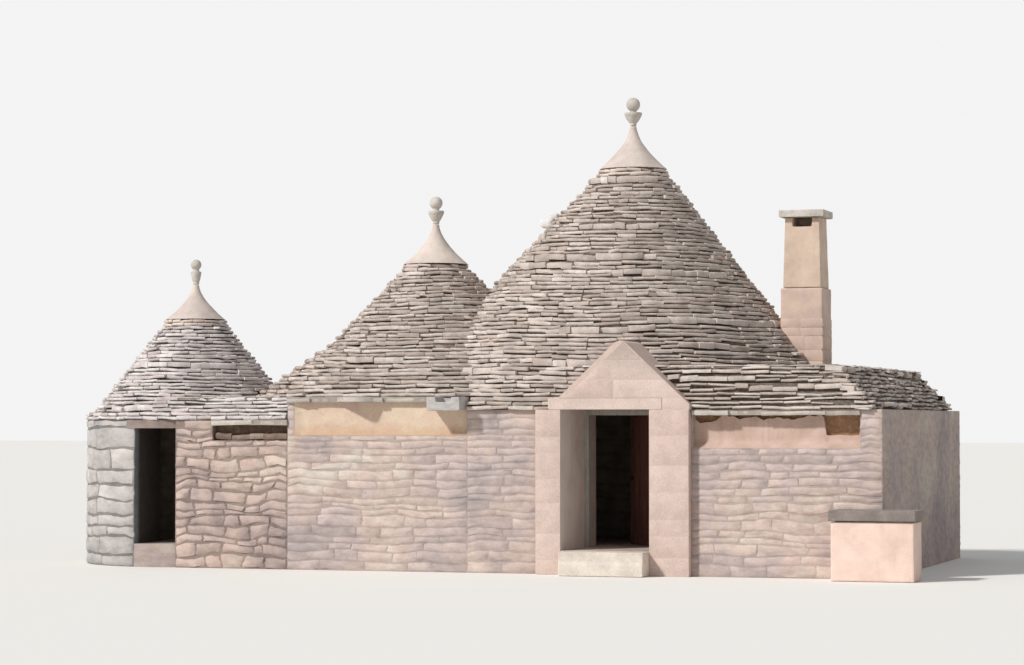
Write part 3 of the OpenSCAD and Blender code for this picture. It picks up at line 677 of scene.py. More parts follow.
def painted_shade_reveal_material():
    """The small doorway's thick reveal in painted shade: blue-grey at its outer edge, dark brown
    within.
    """
    s = Shader("small_reveal_painted_shade", 0.92)
    inward = s.maths("SUBTRACT", s.part(s.where, "Y"), FACADE)
    # Painted shade: the ramp darkens the reveal from blue-grey at its face to dark brown deeper in.
    colour = s.ramp(s.uneven(inward, (9.0, 6, 0.7), 0.06), (0.12, "868a8e"), (0.20, "4f4842"))
    colour = s.shaded(colour, 0.9, (7.0, 6, 0.65), (0.32, 0.78), (0.64, 1.05))
    s.finish(colour, s.relief(0.5, (9.0, 6, 0.65), (50.0, 5, 0.7)), 0.6, 0.014)


def inner_material():
    """Limewashed corbelling inside, with the lines of its courses."""
    s = Shader("inner_limewash", 0.92)
    wave = s.node("TexWave", {
        "Vector": s.where, "Scale": 1.7, "Distortion": 2.6, "Detail": 4.0, "Detail Scale": 1.4},
        bands_direction="Z").outputs["Fac"]
    lines = s.ramp(wave, (0.0, 0.35), (0.16, 1.0))
    mottled = s.ramp(s.noise(4.0, 6, 0.6), (0.3, "8f8375"), (0.7, "b5a898"))
    colour = s.mix(0.22, mottled, lines, "MULTIPLY")
    s.finish(colour, s.mix(0.5, lines, s.noise(30.0, 6, 0.6)), 0.4, 0.015)


def packing_material(name, grains, bump, distance, *stops):
    """Small stones and mortar between and behind the others, by the scales of colour and relief. In
    some places the dark stops it is given are painted shade.
    """
    s = Shader(name, 0.95, 0.1)
    colour, relief = (s.noise(scale, 6, 0.7) for scale in grains)
    s.finish(s.ramp(colour, *stops), relief, bump, distance)


def wood_material(name, dark, middle, pale):
    """Old painted boards: grain along the board, and paint worn at its ridges."""
    s = Shader(name, 0.62, 0.35)
    grain = s.noise(6.0, 8, 0.7, stretch=(9.0, 9.0, 0.5), distortion=0.4)
    colour = s.ramp(grain, (0.3, dark), (0.5, middle), (0.72, pale))
    colour = s.mix(0.45, colour, s.ramp(s.tone(), (0.0, 0.72), (1.0, 1.08)), "MULTIPLY")
    colour = s.patched(colour, "8d7a69", 0.5, (14.0, 7, 0.75), 0.60, 0.68)
    s.finish(colour, grain, 0.5, 0.004)


def iron_material():
    s = Shader("wrought_iron", 0.6, 0.5)
    s.surface.inputs["Metallic"].default_value = 0.7
    rust = s.ramp(s.noise(40.0, 7, 0.7), (0.45, "2a2725"), (0.62, "3d332d"), (0.78, "6b4330"))
    s.finish(rust, s.noise(90.0, 5, 0.7), 0.4, 0.002)


# Places and colours of the broad patches of limewash
WALL_STOPS = [(0.34, "b6a8a5"), (0.45, "c8b7b2"), (0.54, "d2bdb2"), (0.66, "dacdc2")]
ROUGH_STOPS = [(0.34, "ab9a95"), (0.46, "c4afa6"), (0.56, "d0b9ad"), (0.68, "d9c8b9")]
DRUM_STOPS = [(0.34, "aaa6a6"), (0.46, "bfb9b6"), (0.58, "cac3bf"), (0.70, "d6cfc7")]

for stone in (
    ("roof_slab_stone", "bfafa4 d5c6bc eaded5 a79b94", 0.4),
    ("roof_slab_stone_small", "d4c8c4 e8dcda f4eeea b0aaac", 0.4),
    ("eave_slab_stone", "b3a79d c9beb4 dcd3ca 9b938c", 0.4),
    # The slot's stones are dark brown as painted shade for the small block's recess under its eave.
    ("slot_stone_painted_shade", "6f5c4f 8d7869 ad9b8d 5c5048", 0.4),
    ("surround_stone", "d5beb3 d8c2b7 dcc7bc ccb7ad", 0.25, 0.1, 0.35,
     (GABLE[1].z - 0.42, GABLE[1].z - 0.02)),
    ("paving_stone", "b8a893 cbbca8 dacdbb a09484", 0.3, 0.1),
    ("step_stone", "d9cabb e2d5c8 ebdfd4 c4b7ab", 0.3, 0.2, 0.5),
    ("bench_stone", "857a73 988d86 aaa19a 777170", 0.35, 0.3),
    ("finial_stone", "c6beb5 d5cdc4 e2dbd4 a39c95", 0.45, 0.5, 0.5),
    ("pale_stone", "e2dcd8 ece7e4 f4f0ee c9c3bf", 0.2, 0.1, 0.3),
):
    stone_material(*stone)
for stone in (
    ("wall_stone", WALL_STOPS, 0.6, 1.0),
    ("wall_stone_rough", ROUGH_STOPS, 0.9, 1.0),
    ("drum_stone", DRUM_STOPS, 0.9, 1.0),
    ("lime_mortar", WALL_STOPS, 0.6, 0.86),
    ("rough_mortar", ROUGH_STOPS, 0.6, 0.62),
    ("drum_mortar", DRUM_STOPS, 0.6, 0.50),
):
    limewashed_stone(*stone)
for plaster in (
    ("cap_plaster", "ddcec2", "b4a4a1", 0.35, 0.40, 0.7),
    ("right_band_plaster", "cfb6aa", "b3937f", 0.55, 0.5, 0.8),
    ("cream_plaster", "d8c2af", "b79f8d", 0.4, 0.5, 0.7),
    ("chimney_plaster", "d9bfae", "af9d98", 0.5, 0.4, 0.7),
    ("reveal_limewash", "d9ccc4", "b4a8a4", 0.3, 0.3, 0.5),
    ("bench_limewash", "f0d5c7", "d3b6a7", 0.4, 0.45, 0.7),
):
    plaster_material(*plaster)
for name, dark, middle, pale in (
    ("surround_mortar", "c6afa4", "cfb9ae", "d8c3b9"),
    # The small block's slot packing is dark brown as painted shade in that recess.
    ("slot_packing_painted_shade", "4c3d33", "6b584b", "8d7868"),
    # The right recess's packing is brown as its own colour, darkened further as painted shade under
    # the eave.
    ("recess_packing_and_shade", "86664f", "a98568", "c6a486"),
):
    packing_material(name, (16.0, 60.0), 0.6, 0.008, (0.3, dark), (0.55, middle), (0.75, pale))
# The roof packing's dark brown-grey is partly its own colour and partly painted shade in the gaps
# between the slabs.
packing_material("roof_packing_and_shade", (28.0, 40.0), 0.8, 0.02, (0.35, "5e544d"), (0.7, "8f847b"))
wood_material("door_boards", "4e302a", "6c4740", "845c52")
wood_material("door_frame_wood", "8f8d84", "aeaca3", "c9c6bd")
band_material()
painted_shade_reveal_material()
inner_material()
iron_material()

# Solids, worn or repainted


def copy_of(node):
    """The node's mesh as a new one with its split corners joined."""
    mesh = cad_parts[node].data.copy()
    form = bmesh.new()
    form.from_mesh(mesh)
    bmesh.ops.remove_doubles(form, verts=form.verts, dist=0.0002)
    form.to_mesh(mesh)
    form.free()
    mesh.materials.clear()
    if "custom_normal" in mesh.attributes:
        mesh.attributes.remove(mesh.attributes["custom_normal"])
    return mesh


def weathered(name, node, material, slot, voxel, wear, scale, tone=0.5):
    """A worn copy of a solid: rounded by a remesh and made uneven, always inwards."""
    piece = finished(name, copy_of(node), material, slot, angle=180, replaces=node)
    remesh = piece.modifiers.new("round", "REMESH")
    remesh.mode = "VOXEL"
    remesh.voxel_size = voxel
    graph = bpy.context.evaluated_depsgraph_get()
    worn = bpy.data.meshes.new_from_object(piece.evaluated_get(graph))
    piece.modifiers.clear()
    piece.data = worn
    outward = [vertex.normal.copy() for vertex in worn.vertices]
    for vertex, normal in zip(worn.vertices, outward):
        swell = noise.noise(vertex.co * scale) + 0.5 * noise.noise(vertex.co * scale * 3.1)
        vertex.co -= normal * wear * (0.75 + 0.6 * swell)
        vertex.co.z = max(vertex.co.z, 0.0)
    worn.shade_smooth()
    set_tones(worn, [tone] * len(worn.vertices))


# Piece, solid, material, slot, voxel of the remesh, depth and scale of the wear, and tone
WORN = (
    ("spout_block", "spout_stone", "drum_stone", "edge_slabs", 0.012, 0.005, 9.0, 0.8),
    ("lintel_stone", "door_lintel", "surround_stone", "surround_stone", 0.016, 0.002, 5.0, 1.0),
    ("step_stones", "door_steps", "step_stone", "surround_stone", 0.014, 0.004, 6.0, 0.7),
    ("chimney_base_plaster", "chimney_base", "chimney_plaster", "cream_plaster", 0.016, 0.004, 6.0),
    ("chimney_shaft_plaster", "chimney_shaft", "cream_plaster", "cream_plaster", 0.010, 0.003, 8.0),
    ("chimney_cap_slab", "chimney_cap", "eave_slab_stone", "edge_slabs", 0.010, 0.004, 9.0, 0.9),
    ("bench_plaster", "bench_body", "bench_limewash", "cream_plaster", 0.014, 0.004, 4.0),
    ("bench_top_slab", "bench_slab", "bench_stone", "bench_top", 0.012, 0.004, 6.0),
)


def make_worn_solids():
    for size in ("large", "medium", "small"):
        weathered("plaster_cap_" + size, "cap_" + size, "cap_plaster", "cap_plaster",
                  0.014, 0.008, 5.0)
        weathered("stone_finial_" + size, "finial_" + size, "finial_stone", "finial_stone",
                  0.006, 0.0015, 9.0)
    for row in WORN:
        weathered(*row)


def repaint(node, *materials, choose=None):
    """Gives a solid that keeps its form new materials, face by face where choose says so."""
    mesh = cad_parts[node].data
    mesh.materials.clear()
    for material in materials:
        mesh.materials.append(MATERIALS[material])
    if choose:
        for polygon in mesh.polygons:
            polygon.material_index = choose(polygon.center, polygon.normal)


# How far the packing is drawn in behind the slabs, and how near the outline a corner of it lies
PULL, AT_OUTLINE = 0.085, 0.03


def roof_core(node, roof, dome):
    """The packing behind the slabs: the solid drawn in a little, with its dome limewashed."""
    mesh = copy_of(node)
    for vertex in mesh.vertices:
        x, y, z = vertex.co
        k = min(max(round((z - roof.foot) / roof.height), 0), roof.count - 1)
        cx, cy = roof.centre(k)
        r = math.hypot(x - cx, y - cy)
        if r > roof.ray(k, math.atan2(y - cy, x - cx)) - AT_OUTLINE:
            share = 1 - PULL / r
            vertex.co = (cx + (x - cx) * share, cy + (y - cy) * share, z)
    # The packing's dark colour is partly painted shade in the gaps between the slabs.
    finished(node + "_core", mesh, "roof_packing_and_shade", "roof_slabs", angle=30, replaces=node)
    mesh.materials.append(MATERIALS["inner_limewash"])
    (cx, cy), foot_r = dome
    for polygon in mesh.polygons:
        spot = polygon.center
        near = math.hypot(spot.x - cx, spot.y - cy) < foot_r + 0.02
        inward = polygon.normal.dot(Vector((cx - spot.x, cy - spot.y, -0.2))) > 0
        polygon.material_index = 1 if near and inward else 0


# The roofs

LARGE = Roof(LARGE_TOP, LARGE_COURSE, LARGE_COURSES, large_centre, large_ray)
MEDIUM = Roof(MEDIUM_TOP, MEDIUM_COURSE, MEDIUM_COURSES, lambda k: (MEDIUM_X, MEDIUM_Y), medium_ray)
SMALL = Roof(SMALL_TOP, SMALL_COURSE, SMALL_COURSES, lambda k: tuple(DRUM), small_ray)
# Centre and foot radius of the domes inside
LARGE_DOME = (0.2, 0.0), 1.24
MEDIUM_DOME = (-2.225, -0.65), 0.565
SMALL_DOME = tuple(DRUM), 0.54
# The slope of the doorway's gable starts a little above its foot
SLOPE_FOOT = GABLE[0].z + 0.06
GABLE_WIDTH = GABLE[1].x - GABLE[0].x


def in_gable(x, y, z):
    """Whether a point lies in the gabled front of the doorway."""
    middle = (GABLE[0].x + GABLE[1].x) / 2
    share = min(1.0, max(0.0, (GABLE[1].z - z) / (GABLE[1].z - SLOPE_FOOT)))
    return abs(x - middle) < GABLE_WIDTH / 2 * share - 0.01 and y < GABLE[1].y


def in_chimney(x, y, margin=0.005):
    half = (CHIMNEY[1].x - CHIMNEY[0].x) / 2 + margin
    return abs(x - CHIMNEY_X) < half and abs(y) < half


# How far each roof's slabs run on inside its neighbour's outline
LARGE_INTO_MEDIUM, MEDIUM_INTO_LARGE, SMALL_INTO_MEDIUM = 0.12, 0.11, 0.05


def over_large(x, y, z):
    in_medium = x < ARCH_X and y < ROOM_REAR and z < MEDIUM_TOP + 0.02
    inside = in_medium or MEDIUM.depth(x, y, z) > LARGE_INTO_MEDIUM
    return inside or in_gable(x, y, z) or in_chimney(x, y)


def over_medium(x, y, z):
    return LARGE.depth(x, y, z) > MEDIUM_INTO_LARGE


def over_small(x, y, z):
    in_medium = z < MEDIUM_TOP and x > SMALL_X - 0.02
    return in_medium or MEDIUM.depth(x, y, z) > SMALL_INTO_MEDIUM


def make_roofs():
    for size, roof, tiers, dome, kind, mean, hidden, limits, bare in (
        ("large", LARGE, ("base", "lower", "middle", "upper"), LARGE_DOME, "", 0.27, over_large,
         (-0.004, 0.02), -0.4),
        ("medium", MEDIUM, ("lower", "upper"), MEDIUM_DOME, "", 0.25, over_medium,
         (0.012, 0.012), -0.15),
        ("small", SMALL, ("base", "upper"), SMALL_DOME, "_small", 0.23, over_small,
         (-0.002, 0.012), -0.15),
    ):
        slab_roof(size + "_roof_slabs", roof, "roof_slab_stone" + kind, "roof_slabs" + kind, mean,
                  hidden, limits, bare)
        for tier in tiers:
            roof_core(f"roof_{size}_{tier}", roof, dome)


def make_terraces():
    """Loose slabs on the level parts: the large roof's shoulder, the small one's link, a corner."""
    terrace, ledge = Batch(), Batch()
    low, high = box["roof_large_base"]
    large_z = high.z
    inset = SHOULDER_SETBACK * (LARGE_BASE - 1) + 0.03

    def on_shoulder(x, y):
        return LARGE.depth(x, y, large_z + 0.01) < 0.14 and not in_chimney(x, y, 0.02)

    pave(terrace, (0.2, low.y + 0.2), (high.x - inset, high.y - 0.2), large_z, TERRACE, on_shoulder)
    low, high = box["roof_small_base"]
    small_z = high.z

    def on_link(x, y):
        z = small_z + 0.01
        return SMALL.depth(x, y, z) < 0.10 and MEDIUM.depth(x, y, z) < 0.08

    pave(terrace, (DRUM.x, low.y + 0.2), (SMALL_X, MIDDLE - 0.04), small_z, TERRACE, on_link)
    terrace.build("terrace_slabs", "roof_slab_stone", "roof_slabs")
    wall_top = Path(MEDIUM_REAR_ARC)
    for a, b in pairs(cuts(0, wall_top.length, 0.26)):
        lay_slab(ledge, wall_top, a, b, MEDIUM_TOP, rng.uniform(0.045, 0.075),
                 rng.uniform(-0.02, 0.0), 0.0)
    ledge.build("rear_corner_slabs", "roof_slab_stone", "roof_slabs")


# Where the loose stones lie on the large cone, in degrees, and their courses, half sizes and tones
LOOSE_AT = 195.7
LOOSE_STONES = ((22, (0.085, 0.070, 0.055), 0.9), (23, (0.055, 0.050, 0.040), 0.6))


def make_loose_stones():
    """Two pale stones lie on treads of the large cone's left flank."""
    stones = Batch()
    angle = math.radians(LOOSE_AT)
    for k, size, tone in LOOSE_STONES:
        cx, cy = LARGE.centre(k)
        r = LARGE.ray(k, angle) - 0.03
        rest = LARGE.z(k + 1) + size[2] - 0.015
        spot = (cx + r * math.cos(angle), cy + r * math.sin(angle), rest)
        form = bmesh.new()
        bmesh.ops.create_icosphere(form, subdivisions=3, radius=1.0)
        for vertex in form.verts:
            blunt = Vector([math.copysign(abs(c) ** 0.6, c) for c in vertex.co])
            blunt *= 1 + 0.16 * noise.noise(vertex.co * 1.7 + Vector(spot))
            vertex.co = [m + c * half for m, c, half in zip(spot, blunt, size)]
        stones.take(form, tone)
    stones.build("pale_loose_stones", "pale_stone", "roof_slabs")


# The walls

# The rounded corners at the rear, and where the medium block's wall leaves the large one's
LARGE_REAR_ARC = arc((LARGE_X, 0), 2.76, 109.6, 151.9)
MEDIUM_REAR_ARC = arc((MEDIUM_X, MEDIUM_Y), 2.3, 121.55, 142.72)
REAR_MEETING = (-2.535, 1.3)
# The gap for the spout in the drum's stones: its width before the wall's end, and its foot
SPOUT = 0.11, 1.63
EAVE_THICK = 0.062
# Left, right, foot and top of the recesses under the eaves
MEDIUM_BAND = (box["front_wall_medium"][0].x + 0.084, ARCH_X, 1.549, MEDIUM_TOP)
SLOT = (box["eave_slabs"][0].x, SMALL_X, 1.488, SMALL_TOP)
RIGHT_BAND = (SURROUND_RIGHT, RIGHT - 0.24, 1.413, LARGE_TOP)


def make_walls():
    stones, rough, drum = Batch(), Batch(), Batch()
    start = SMALL_JAMB_RIGHT
    front = Path([(start, FACADE), (RIGHT, FACADE)])
    small_end, medium_end = SMALL_X - start, ARCH_X - start
    bands = [(left - start, right - start, foot, top)
             for left, right, foot, top in (MEDIUM_BAND, SLOT, RIGHT_BAND)]
    doorway = (SURROUND_LEFT - start, SURROUND_RIGHT - start, -1, LARGE_TOP)
    lintel = box["small_door_lintel"]
    over_door = (0.0, lintel[1].x - start, lintel[0].z, 3)
    left_rear = (box["rear_wall_medium"][0].x, MIDDLE)
    lay_face(rough, front, SMALL_TOP, ROUGH_RUBBLE, [*bands, over_door], end=small_end)
    lay_face(rough, Path([left_rear, (DRUM.x, MIDDLE)]), SMALL_TOP, ROUGH_RUBBLE)
    rough.build("small_wall_stones", "wall_stone_rough", "wall_stone")

    lay_face(stones, front, MEDIUM_TOP, RUBBLE, bands, start=small_end, end=medium_end)
    lay_face(stones, front, LARGE_TOP, RUBBLE, [*bands, doorway], start=medium_end)
    lay_face(stones, Path([(RIGHT, REAR), *LARGE_REAR_ARC]), LARGE_TOP, RUBBLE)
    lay_face(stones, Path([REAR_MEETING, *MEDIUM_REAR_ARC, left_rear]), MEDIUM_TOP, RUBBLE)
    stones.build("wall_stones", "wall_stone", "wall_stone")

    jamb = math.degrees(math.acos((SMALL_JAMB_LEFT - DRUM.x) / DRUM_R))
    round_wall = Path(arc(DRUM, DRUM_R, 90, 360 - jamb, 140))
    spout = (round_wall.length - SPOUT[0], round_wall.length, SPOUT[1], 3)
    lay_face(drum, round_wall, SMALL_TOP, DRUM_STONE, [spout])
    drum.build("drum_stones", "drum_stone", "drum_stone")


# Left, right, front and rear of the large and the medium room, a little beyond their faces
ROOMS = ((-1.12, 2.5, -1.32, 1.32), (-2.87, -1.08, -1.32, 0.02))
# The small room's radius, the rear end of the doorways' reveals, and how near a reveal's faces
# lie to its jamb
SMALL_ROOM_R, REVEAL_END, NEAR_JAMB = 0.62, -1.2, 0.1


def outer_or_inner(point, normal):
    """0 on outside faces, 1 in the rooms, 2 on the gabled doorway's reveals, 3 on the small one's."""
    x, y = point.xy
    if any(left < x < right and front < y < rear for left, right, front, rear in ROOMS):
        return 1
    if (Vector((x, y)) - DRUM).length < SMALL_ROOM_R:
        return 1
    if abs(normal.x) < 0.9 or not FACADE < y < REVEAL_END:
        return 0
    # The small doorway's reveals take the material with painted shade.
    if SMALL_JAMB_LEFT - NEAR_JAMB < x < SMALL_JAMB_RIGHT + NEAR_JAMB:
        return 3
    return 2 if SMALL_X < x < JAMB_RIGHT + NEAR_JAMB else 0


def band_or_packing(point, normal):
    """0 on the medium block's band, 1 in the small block's slot and 2 on the right recess."""
    if point.x < SMALL_X - 0.01:
        return 1
    return 2 if point.x > SURROUND_RIGHT else 0


def pier_or_reveal(point, normal):
    """0 on the doorway's piers, 1 on the faces of its jambs."""
    by_jamb = JAMB_LEFT - NEAR_JAMB < point.x < JAMB_RIGHT + NEAR_JAMB
    return 1 if abs(normal.x) > 0.9 and by_jamb else 0


def paint_solids():
    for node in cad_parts:
        if "wall" in node or node == "small_door_lintel":
            outside = "lime_mortar"
            if node.startswith("small"):
                outside = "drum_mortar" if node.endswith("_left") else "rough_mortar"
            repaint(node, outside, "inner_limewash", "reveal_limewash", "small_reveal_painted_shade",
                    choose=outer_or_inner)
    repaint("plaster_bands", "band_plaster", "slot_packing_painted_shade", "recess_packing_and_shade",
            choose=band_or_packing)
    repaint("doorway_piers", "surround_mortar", "reveal_limewash", choose=pier_or_reveal)
    repaint("doorway_gable", "surround_mortar")
    for node in ("floor_large", "floor_medium", "floor_small"):
        repaint(node, "lime_mortar")


# Grid of the plaster in the bands, and how wide it is eased at its foot and its soft end
BAND_STEP, FOOT_EASE, END_EASE = 0.03, 0.10, 0.16


def lay_band(batch, span, foot, top, depth, back, soft_end, drop):
    """Rough plaster in a recess, eased out to the wall's face at its foot and its soft end.

    drop(x) is how far the plaster's upper edge lies under the eave.
    """
    columns = round((span[1] - span[0]) / BAND_STEP)
    rows = round((top - foot) / BAND_STEP)
    points, tones = [], []
    for i in range(columns + 1):
        x = span[0] + (span[1] - span[0]) * i / columns
        edge = top - drop(x)
        for k in range(rows + 1):
            z = foot + (edge - foot) * k / rows
            ease = 1 - (1 - min(1.0, (z - foot) / FOOT_EASE)) ** 2
            if soft_end:
                ease *= 1 - (1 - min(1.0, (x - span[0]) / END_EASE)) ** 2
            inside = 0 < k and 0 < i < columns
            rough = 0.007 * noise.noise(Vector((x * 6, 0, z * 6))) if inside else 0
            points.append(Vector((x, FACADE + 0.002 + (depth + rough) * ease, z)))
            tones.append((z - foot) / (top - foot) if soft_end else 1.0)
    across = rows + 1
    faces = quads(columns, rows)
    ring = [i * across for i in range(columns + 1)]
    ring += [columns * across + k for k in range(1, rows + 1)]
    ring += [i * across + rows for i in reversed(range(columns))]
    ring += list(reversed(range(1, rows)))
    first, count = len(points), len(ring)
    points += [Vector((points[i].x, FACADE + back, points[i].z)) for i in ring]
    tones += [tones[i] for i in ring]
    faces += [(ring[(i + 1) % count], ring[i], first + i, first + (i + 1) % count)
              for i in range(count)]
    faces.append(tuple(first + i for i in reversed(range(count))))
    batch.points, batch.faces, batch.tones = points, faces, tones


def broken_edge(x):
    """How far the right band's plaster ends under the eave: ragged, and low at its right end."""
    end = RIGHT_BAND[1]
    # At the right end the plaster ends low, and the packing behind it shows, darkened as painted
    # shade.
    if end - 0.40 < x < end - 0.03:
        return 0.22 + 0.02 * noise.noise(Vector((x * 9, 1, 0)))
    ragged = noise.noise(Vector((x * 3.3, 4.0, 0))) + 0.4 * noise.noise(Vector((x * 11, 2.0, 0)))
    return min(0.12, max(0.0, 0.03 + 0.10 * ragged))


def make_bands():
    """The plaster of the two smooth bands, in the recesses that the solids have for it."""
    for name, material, band, inset, depth, back, soft_end, drop in (
        ("medium_band_plaster", "band_plaster", MEDIUM_BAND, 0.0, 0.030, 0.045, True,
         lambda x: 0.0),
        ("right_band_plaster", "right_band_plaster", RIGHT_BAND, 0.02, 0.095, 0.165, False,
         broken_edge),
    ):
        batch = Batch()
        left, right, foot, top = band
        lay_band(batch, (left + inset, right), foot, top - EAVE_THICK, depth, back, soft_end, drop)
        batch.build(name, material, "band_plaster", angle=60)


# Where the rooms' flags meet the doorway's, and the small room's floor
THRESHOLD, SMALL_FLOOR_R = -1.3, 0.56


def make_floors():
    flags = Batch()
    bed = FLOOR - 0.008
    for node in ("floor_large", "floor_medium"):
        low, high = box[node]
        pave(flags, (low.x, max(low.y, THRESHOLD)), (high.x, high.y), bed, FLAG)
    pave(flags, (JAMB_LEFT, SURROUND), (JAMB_RIGHT, THRESHOLD), bed, FLAG)

    def in_small_room(x, y):
        in_doorway = SMALL_JAMB_LEFT < x < SMALL_JAMB_RIGHT and y < DRUM.y
        return in_doorway or (Vector((x, y)) - DRUM).length < SMALL_FLOOR_R

    pave(flags, (DRUM.x - 0.6, FACADE + 0.05), (DRUM.x + 0.6, DRUM.y + 0.6), bed, FLAG,
         in_small_room)
    flags.build("floor_flags", "paving_stone", "paving")


# Eaves, doorway and chimney

EAVE_FRONT = FACADE - 0.08
# A slab stands out over the medium block's band as a wedge: its ends, the ends of its tip counted
# from the left one, and where its tip lies
WEDGE_X, WEDGE_TIP_X, WEDGE_TIP = (-2.67, -2.16), (0.24, 0.30), FACADE - 0.20
# The bed of the rough slabs in the small block's slot; their dark brown is painted shade for that
# recess.
SLOT_SLABS = SMALL_TOP - EAVE_THICK - 0.18


def make_eaves():
    batch, slot, wedge = Batch(), Batch(), Batch()
    for left, right, top in (
        (SMALL_X, ARCH_X - 0.40, MEDIUM_TOP),
        (SURROUND_RIGHT + 0.02, RIGHT_BAND[1], LARGE_TOP),
        (SLOT[0], SMALL_X, SMALL_TOP),
    ):
        path = Path([(left, EAVE_FRONT), (right, EAVE_FRONT)])
        for a, b in pairs(cuts(0, right - left, 0.42, 0.4)):
            lay_slab(batch, path, a, b, top - EAVE_THICK, EAVE_THICK * rng.uniform(0.70, 0.95),
                     rng.uniform(-0.050, 0.004), 0.0)
    batch.build("eave_edge_slabs", "eave_slab_stone", "edge_slabs", replaces="eave_slabs")
    # What lies behind the slabs' edges, and shows in the rooms and over the bands
    mesh = copy_of("eave_slabs")
    for vertex in mesh.vertices:
        if vertex.co.y < EAVE_FRONT + 0.01:
            vertex.co.y += 0.05
    finished("eave_slab_backing", mesh, "eave_slab_stone", "edge_slabs", angle=30)

    (left, right), rear = WEDGE_X, EAVE_FRONT + 0.05
    outline = [(left, rear), *((left + x, WEDGE_TIP) for x in WEDGE_TIP_X), (right, rear)]
    points = [Vector((x, y, MEDIUM_TOP - drop)) for drop in (0.055, 0.005) for x, y in outline]
    wedge.add(points, [(3, 2, 1, 0), (4, 5, 6, 7), *around(0, 4, 4)], 0.7)
    wedge.build("eave_wedge_slab", "eave_slab_stone", "edge_slabs")

    way = Path([(SLOT[0], FACADE + 0.03), (SMALL_X, FACADE + 0.03)])
    for a, b in pairs(cuts(0.02, way.length - 0.02, 0.24, 0.5)):
        lay_slab(slot, way, a, b, SLOT_SLABS + rng.uniform(0.0, 0.02), rng.uniform(0.05, 0.085),
                 rng.uniform(-0.03, 0.01), 0.02)
    slot.build("slot_slabs", "slot_stone_painted_shade", "edge_slabs")


# Height of the gable's top stone, and how far it lies within its joints
APEX_HEIGHT, APEX_JOINT, APEX_TOP = 0.22, 0.002, 0.012


def make_surround():
    stones, apex = Batch(), Batch()
    for corners in (
        [(SURROUND_LEFT, FACADE), (SURROUND_LEFT, SURROUND), (JAMB_LEFT, SURROUND)],
        [(JAMB_RIGHT, SURROUND), (SURROUND_RIGHT, SURROUND), (SURROUND_RIGHT, FACADE)],
    ):
        lay_face(stones, Path(corners), LARGE_TOP, ASHLAR)
    left, top = GABLE[0].x, GABLE[1].z
    front = Path([(left, SURROUND), (GABLE[1].x, SURROUND)])

    def slopes(z):
        inset = max(0.0, (z - SLOPE_FOOT) / (top - SLOPE_FOOT)) * front.length / 2
        return inset + 0.006, front.length - inset - 0.006

    lintel = box["door_lintel"]
    hole = (lintel[0].x - left, lintel[1].x - left, lintel[0].z - 1, lintel[1].z)
    shoulder = top - APEX_HEIGHT
    lay_face(stones, front, lintel[1].z, ASHLAR, [hole], slopes, low=GABLE[0].z)
    for c, d in pairs(cuts(lintel[1].z, shoulder, ASHLAR.height)):
        joints = cuts(*slopes(d), ASHLAR.length, 0.3)[1:-1]
        for a, b in pairs([slopes(c)[0], *joints, slopes(c)[1]]):
            lay_stone(stones, front.place, a, b, c, d, ASHLAR, slopes)
    stones.build("surround_stones", "surround_stone", "surround_stone")

    foot = shoulder + APEX_JOINT
    corners = [(x, foot) for x in slopes(foot)] + [(front.length / 2, top - APEX_TOP)]
    rim = [Vector((left + x, SURROUND + 0.004, z)) for x, z in corners]
    middle = sum(rim, Vector()) / 3
    face = [corner.lerp(middle, 0.06) - Vector((0, 0.006, 0)) for corner in rim]
    apex.add(rim + face, [(3, 4, 5), *around(0, 3, 3)], 0.5)
    apex.build("gable_apex_stone", "surround_stone", "surround_stone", angle=30)


def make_chimney_stones():
    """Stones show on the chimney's base, from the roof up to the plaster under its top."""
    stones = Batch()
    (x0, y0, _), (x1, y1, top) = CHIMNEY
    square = Path([(x0, y0), (x1, y0), (x1, y1), (x0, y1), (x0, y0)])
    lay_face(stones, square, top - 0.36, CHIMNEY_STONE, low=2.30)
    stones.build("chimney_stones", "chimney_plaster", "cream_plaster")


# The door

# The hinge's axis, how far the leaf stands open, and the leaf as it is drawn: shut, from the hinge
HINGE = Vector((1.0485, -1.6785, 0))
OPEN = math.radians(-48)
LEAF_WIDTH, LEAF_THICK, LEAF_LOW, LEAF_HIGH = 0.951, 0.030, 0.276, 1.802
LEAF_EDGE, LEAF_FRONT = -0.0195, -0.0455
LEAF_END, LEAF_BACK = LEAF_EDGE - LEAF_WIDTH, LEAF_FRONT + LEAF_THICK
# Heights of the strap hinges, the ledges that they lie on, and (radius, height) pairs of what is
# turned: a hinge's knuckle, its rivets and the round plate at the leaf's free edge
STRAPS = (0.50, 1.48)
LEDGE_HALF, LEDGE_THICK, LEDGE_INSET = 0.055, 0.022, 0.03
STRAP_END, STRAP_HALF, STRAP_THICK = -0.62, 0.022, 0.003
KNUCKLE = ((0.0125, -0.035), (0.0155, -0.032), (0.0155, 0.032), (0.0125, 0.035))
RIVETS, RIVET_FIRST, RIVET_STEP = 5, -0.10, 0.12
RIVET = ((0.009, 0.0), (0.007, 0.003), (0.003, 0.005))
PLATE_Z, PLATE = 1.05, ((0.026, -0.004), (0.024, -0.001), (0.004, 0.0))
# A hinge's pin, from below to above the middle of its strap, and the bracket that holds it
PIN_R, PIN_ABOVE, PIN_BELOW, BRACKET = 0.008, 0.043, 0.055, 0.014
FRAME_WIDTH, FRAME_DEPTH = 0.06, 0.07


def soft_box(batch, xs, ys, zs, bevel):
    """A box with bevelled edges, from its extents."""
    form = bmesh.new()
    bmesh.ops.create_cube(form, size=1.0)
    low, high = (Vector(corner) for corner in zip(xs, ys, zs))
    for vertex in form.verts:
        vertex.co = [(l + h) / 2 + c * (h - l) for l, h, c in zip(low, high, vertex.co)]
    bmesh.ops.bevel(form, geom=form.edges[:], offset=bevel, segments=2, affect="EDGES", profile=0.6)
    batch.take(form)


